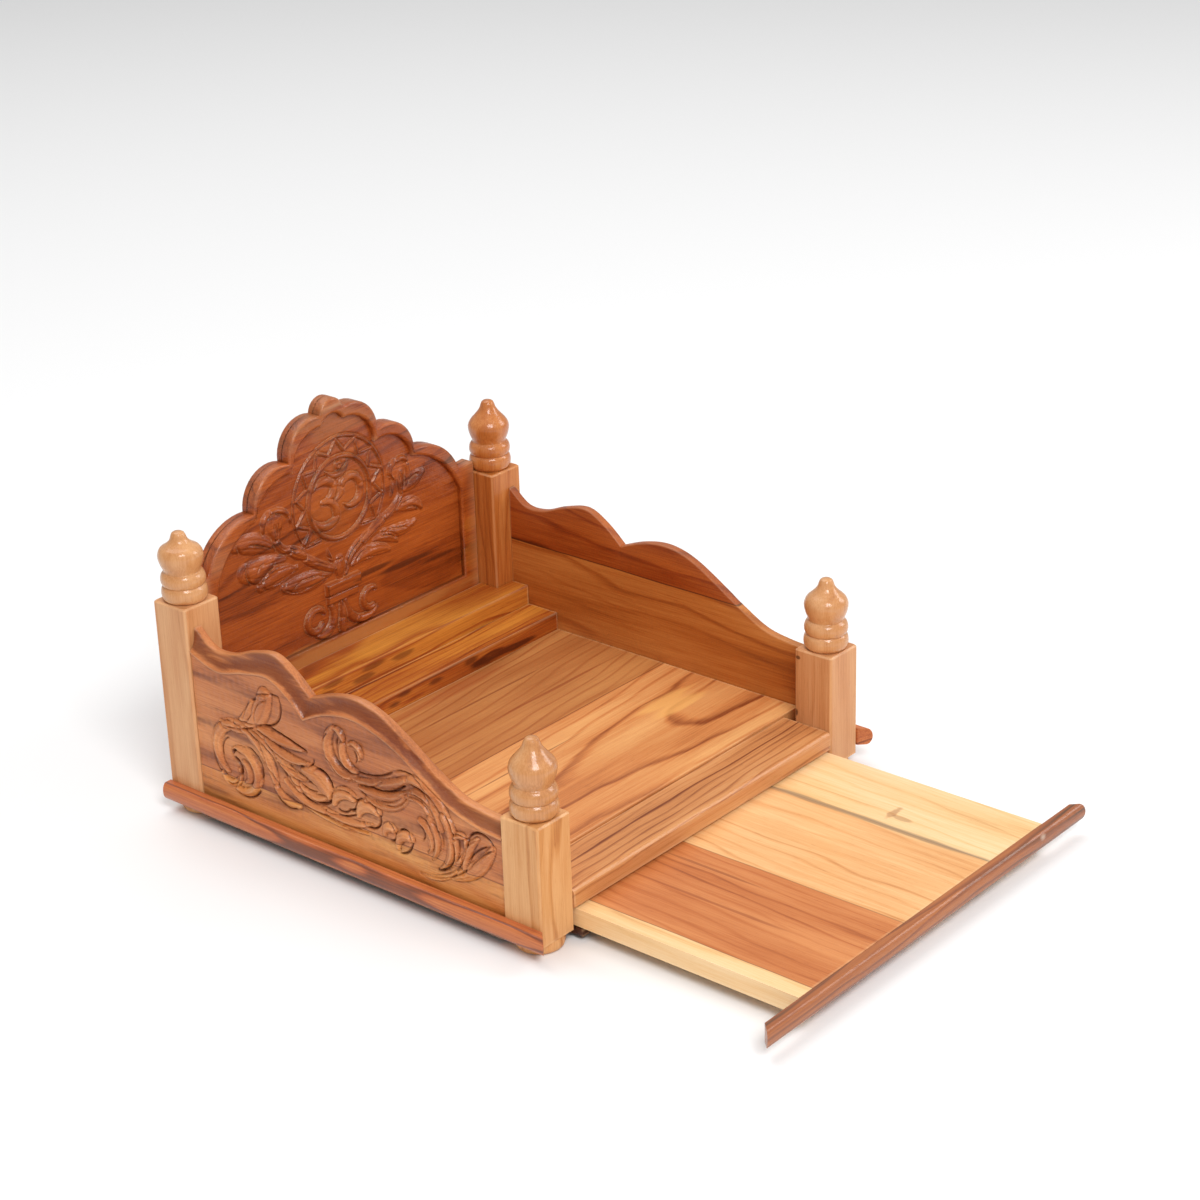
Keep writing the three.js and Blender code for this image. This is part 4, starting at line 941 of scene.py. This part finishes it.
def slab(outlines, y0, y1, bevel):
    """Vertices and faces, in metres, of an upright slab with rounded arrises."""
    curve = bpy.data.curves.new("slab", "CURVE")
    curve.dimensions = "2D"
    curve.fill_mode = "BOTH"
    for outline in outlines:
        spline = curve.splines.new("POLY")
        spline.points.add(len(outline) - 1)
        for point, (x, z) in zip(spline.points, outline):
            point.co = (x * MM, z * MM, 0, 1)
        spline.use_cyclic_u = True
    curve.bevel_depth = bevel * MM
    curve.bevel_resolution = 3
    curve.offset = -bevel * MM
    curve.extrude = ((y1 - y0) / 2 - bevel) * MM
    obj = new_object("slab", curve)
    bpy.context.view_layer.update()
    evaluated = obj.evaluated_get(bpy.context.evaluated_depsgraph_get())
    mesh = bpy.data.meshes.new_from_object(evaluated)
    centre = at(0, (y0 + y1) / 2, 0)
    turn = Matrix.Translation(centre) @ Matrix.Rotation(math.pi / 2, 4, "X")
    vertices = [turn @ v.co for v in mesh.vertices]
    faces = [tuple(p.vertices) for p in mesh.polygons]
    bpy.data.objects.remove(obj)
    bpy.data.curves.remove(curve)
    bpy.data.meshes.remove(mesh)
    return vertices, faces


def medallion_rays():
    """Strokes of the zigzag around the ring, left open at the bottom."""
    rays = []
    for i in range(TEETH * 2):
        ends = []
        for k in (i, i + 1):
            angle = math.radians(90 + k * 180 / TEETH)
            radius = RAY_OUTER if k % 2 == 0 else RAY_INNER
            ends.append((RING[0] + radius * math.cos(angle), RING[1] + radius * math.sin(angle)))
        if min(ends[0][1], ends[1][1]) > RING[1] - RAY_INNER * 0.8:
            rays.append((np.array(ends), 1.7, 0.9, 1, 1))
    return rays


def carved_field(field):
    """Vertices and faces, in metres, of the carved sheet, which runs in under the border."""
    xs = np.arange(-FIELD_END[0] - 2, FIELD_END[0] + 2, FIELD_STEP)
    zs = np.arange(FIELD_BOTTOM - 2, FIELD_LOBES[0][1] + FIELD_LOBES[0][2] + 2, FIELD_STEP)
    u, v = np.meshgrid(xs, zs, indexing="ij")
    forms = [stroke(form) for form in SPRAY_FORMS]
    ridges = [stroke(form) for form in VASE_BLADES + OM_BLADES + ROUND_COILS] + medallion_rays()
    height = np.maximum(relief(u, v, forms, SPRAY_CUTS, SPRAY_CUT, 0.65, 0.5, 0.2),
                        relief(u, v, ridges) - 0.02)
    beside = relief(u, v, ridges, dip=0.6)
    height = np.where((height < 0.05) & (beside < 0), beside, height)
    for x0, x1, z0, z1, top in VASE_BLOCKS:
        edge = np.minimum(np.minimum(u - x0, x1 - u), np.minimum(v - z0, z1 - v))
        block = top * np.clip(edge / 0.9, 0, 1) ** 0.5
        height = np.where(edge > 0, np.maximum(height, block), height)
    height = height + np.where(height <= 0, tool_marks(u, v, 11, 0.1, 7), 0)
    near = np.zeros(u.shape, bool)
    for du in (-FIELD_OVERLAP, 0, FIELD_OVERLAP):
        for dv in (-FIELD_OVERLAP, 0, FIELD_OVERLAP):
            near |= inside_outline(u + du, v + dv, field)
    index = -np.ones(u.shape, int)
    index[near] = np.arange(near.sum())
    sheet = [at(x, BACK_FRONT + SUNK - h, z) for x, z, h in zip(u[near], v[near], height[near])]
    whole = near[:-1, :-1] & near[1:, :-1] & near[1:, 1:] & near[:-1, 1:]
    cells = [(int(index[i, j]), int(index[i + 1, j]), int(index[i + 1, j + 1]),
              int(index[i, j + 1])) for i, j in np.argwhere(whole)]
    return sheet, cells


def back_panel():
    """A border with a lobed opening, a board behind it and the carved field between."""
    field = lobed(FIELD_LOBES, FIELD_END, FIELD_BOTTOM)
    outer = lobed(LOBES, LOBES_END, BACK_BOTTOM)
    vertices, faces = [], []
    for part in (slab([outer, field], BACK_FRONT, BACK_FRONT + 8, 1.7),
                 slab([outer], BACK_FRONT + 4, BACK_FRONT + BACK_THICKNESS, 1.5),
                 carved_field(field)):
        start = len(vertices)
        vertices.extend(part[0])
        faces.extend(tuple(start + i for i in face) for face in part[1])
    obj = mesh_object("back_panel_carved", vertices, faces, BACK_SHARP)
    finish_piece(obj, "back", "temple", "back_panel")


def plain_boards():
    """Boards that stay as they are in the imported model, with their arrises rounded, in mm."""
    widths = {"floor_panel": 0.5, "ledge_lower": 0.7, "ledge_upper": 0.7, "front_rail": 0.6,
              "bottom_board": 0.5, "tray_board": 0.6}
    widths.update({f"post_{corner}": 0.7 for corner in CORNERS})
    for node, width in widths.items():
        obj = NODES[node]
        finish_piece(obj, node, None)
        for polygon in obj.data.polygons:
            polygon.use_smooth = True
        bevel = obj.modifiers.new("rounded arrises", "BEVEL")
        bevel.width = width * MM
        bevel.segments = 3
        bevel.limit_method = "ANGLE"
        bevel.angle_limit = math.radians(30)
        bevel.harden_normals = True


for corner in CORNERS:
    finial(corner)
    foot(corner)
side_panel("side_panel_left", -1, "side_left")
side_panel("side_panel_right", 1, "side_right")
mouldings()
back_panel()
plain_boards()


# Stage, light and camera

GROUND_HALF, GROUND_COLOR, GROUND_ROUGH = 6, (0.9, 0.9, 0.9, 1), 0.8
LIGHT_AIM = (0, 0, 0.05)
SKY_STRENGTH = 0.42
CAMERA_TURN = (-49.21, 23.64, -1.8436)  # azimuth, elevation and roll in degrees
CAMERA_PLACE = (-970.9, -901.0, 687.5)
LENS, SENSOR = 82.05, 36


def floor():
    size = GROUND_HALF
    mesh = bpy.data.meshes.new("ground")
    corners = [(-size, -size, 0), (size, -size, 0), (size, size, 0), (-size, size, 0)]
    mesh.from_pydata(corners, [], [(0, 1, 2, 3)])
    ground = new_object("ground", mesh)
    g = Graph("pale_floor")
    g.shader.inputs["Base Color"].default_value = GROUND_COLOR
    g.shader.inputs["Roughness"].default_value = GROUND_ROUGH
    mesh.materials.append(g.material)


def area_light(name, place, size, power):
    """A rectangular light in metres and watts, turned towards the temple."""
    light = bpy.data.lights.new(name, "AREA")
    light.shape = "RECTANGLE"
    light.size, light.size_y = size
    light.energy = power
    obj = new_object(name, light)
    obj.location = place
    aim = Vector(LIGHT_AIM) - Vector(place)
    obj.rotation_euler = aim.to_track_quat("-Z", "Y").to_euler()


def camera():
    azimuth, elevation, roll = (math.radians(v) for v in CAMERA_TURN)
    back = Vector((math.sin(azimuth) * math.cos(elevation),
                   -math.cos(azimuth) * math.cos(elevation), math.sin(elevation)))
    right = Vector((math.cos(azimuth), math.sin(azimuth), 0))
    up = back.cross(right)
    across = math.cos(roll) * right + math.sin(roll) * up
    upward = -math.sin(roll) * right + math.cos(roll) * up
    data = bpy.data.cameras.new("camera")
    data.sensor_width = SENSOR
    data.lens = LENS
    data.clip_start = 0.05
    data.clip_end = 50
    obj = new_object("camera", data)
    turn = Matrix((across, upward, back)).transposed().to_4x4()
    obj.matrix_world = Matrix.Translation(at(*CAMERA_PLACE)) @ turn
    bpy.context.scene.camera = obj


floor()
area_light("key", (-1.1, -1.6, 2.0), (1.1, 1.1), 46)
area_light("side", (1.9, -1.3, 1.3), (0.9, 1.2), 18)
area_light("top", (0.2, 1.0, 2.6), (2.2, 2.2), 34)
world = bpy.data.worlds.new("studio")
world.use_nodes = True
backdrop = next(n for n in world.node_tree.nodes if n.type == "BACKGROUND")
backdrop.inputs[0].default_value = (1, 1, 1, 1)
backdrop.inputs[1].default_value = SKY_STRENGTH
bpy.context.scene.world = world
bpy.context.scene.view_settings.view_transform = "Standard"
camera()
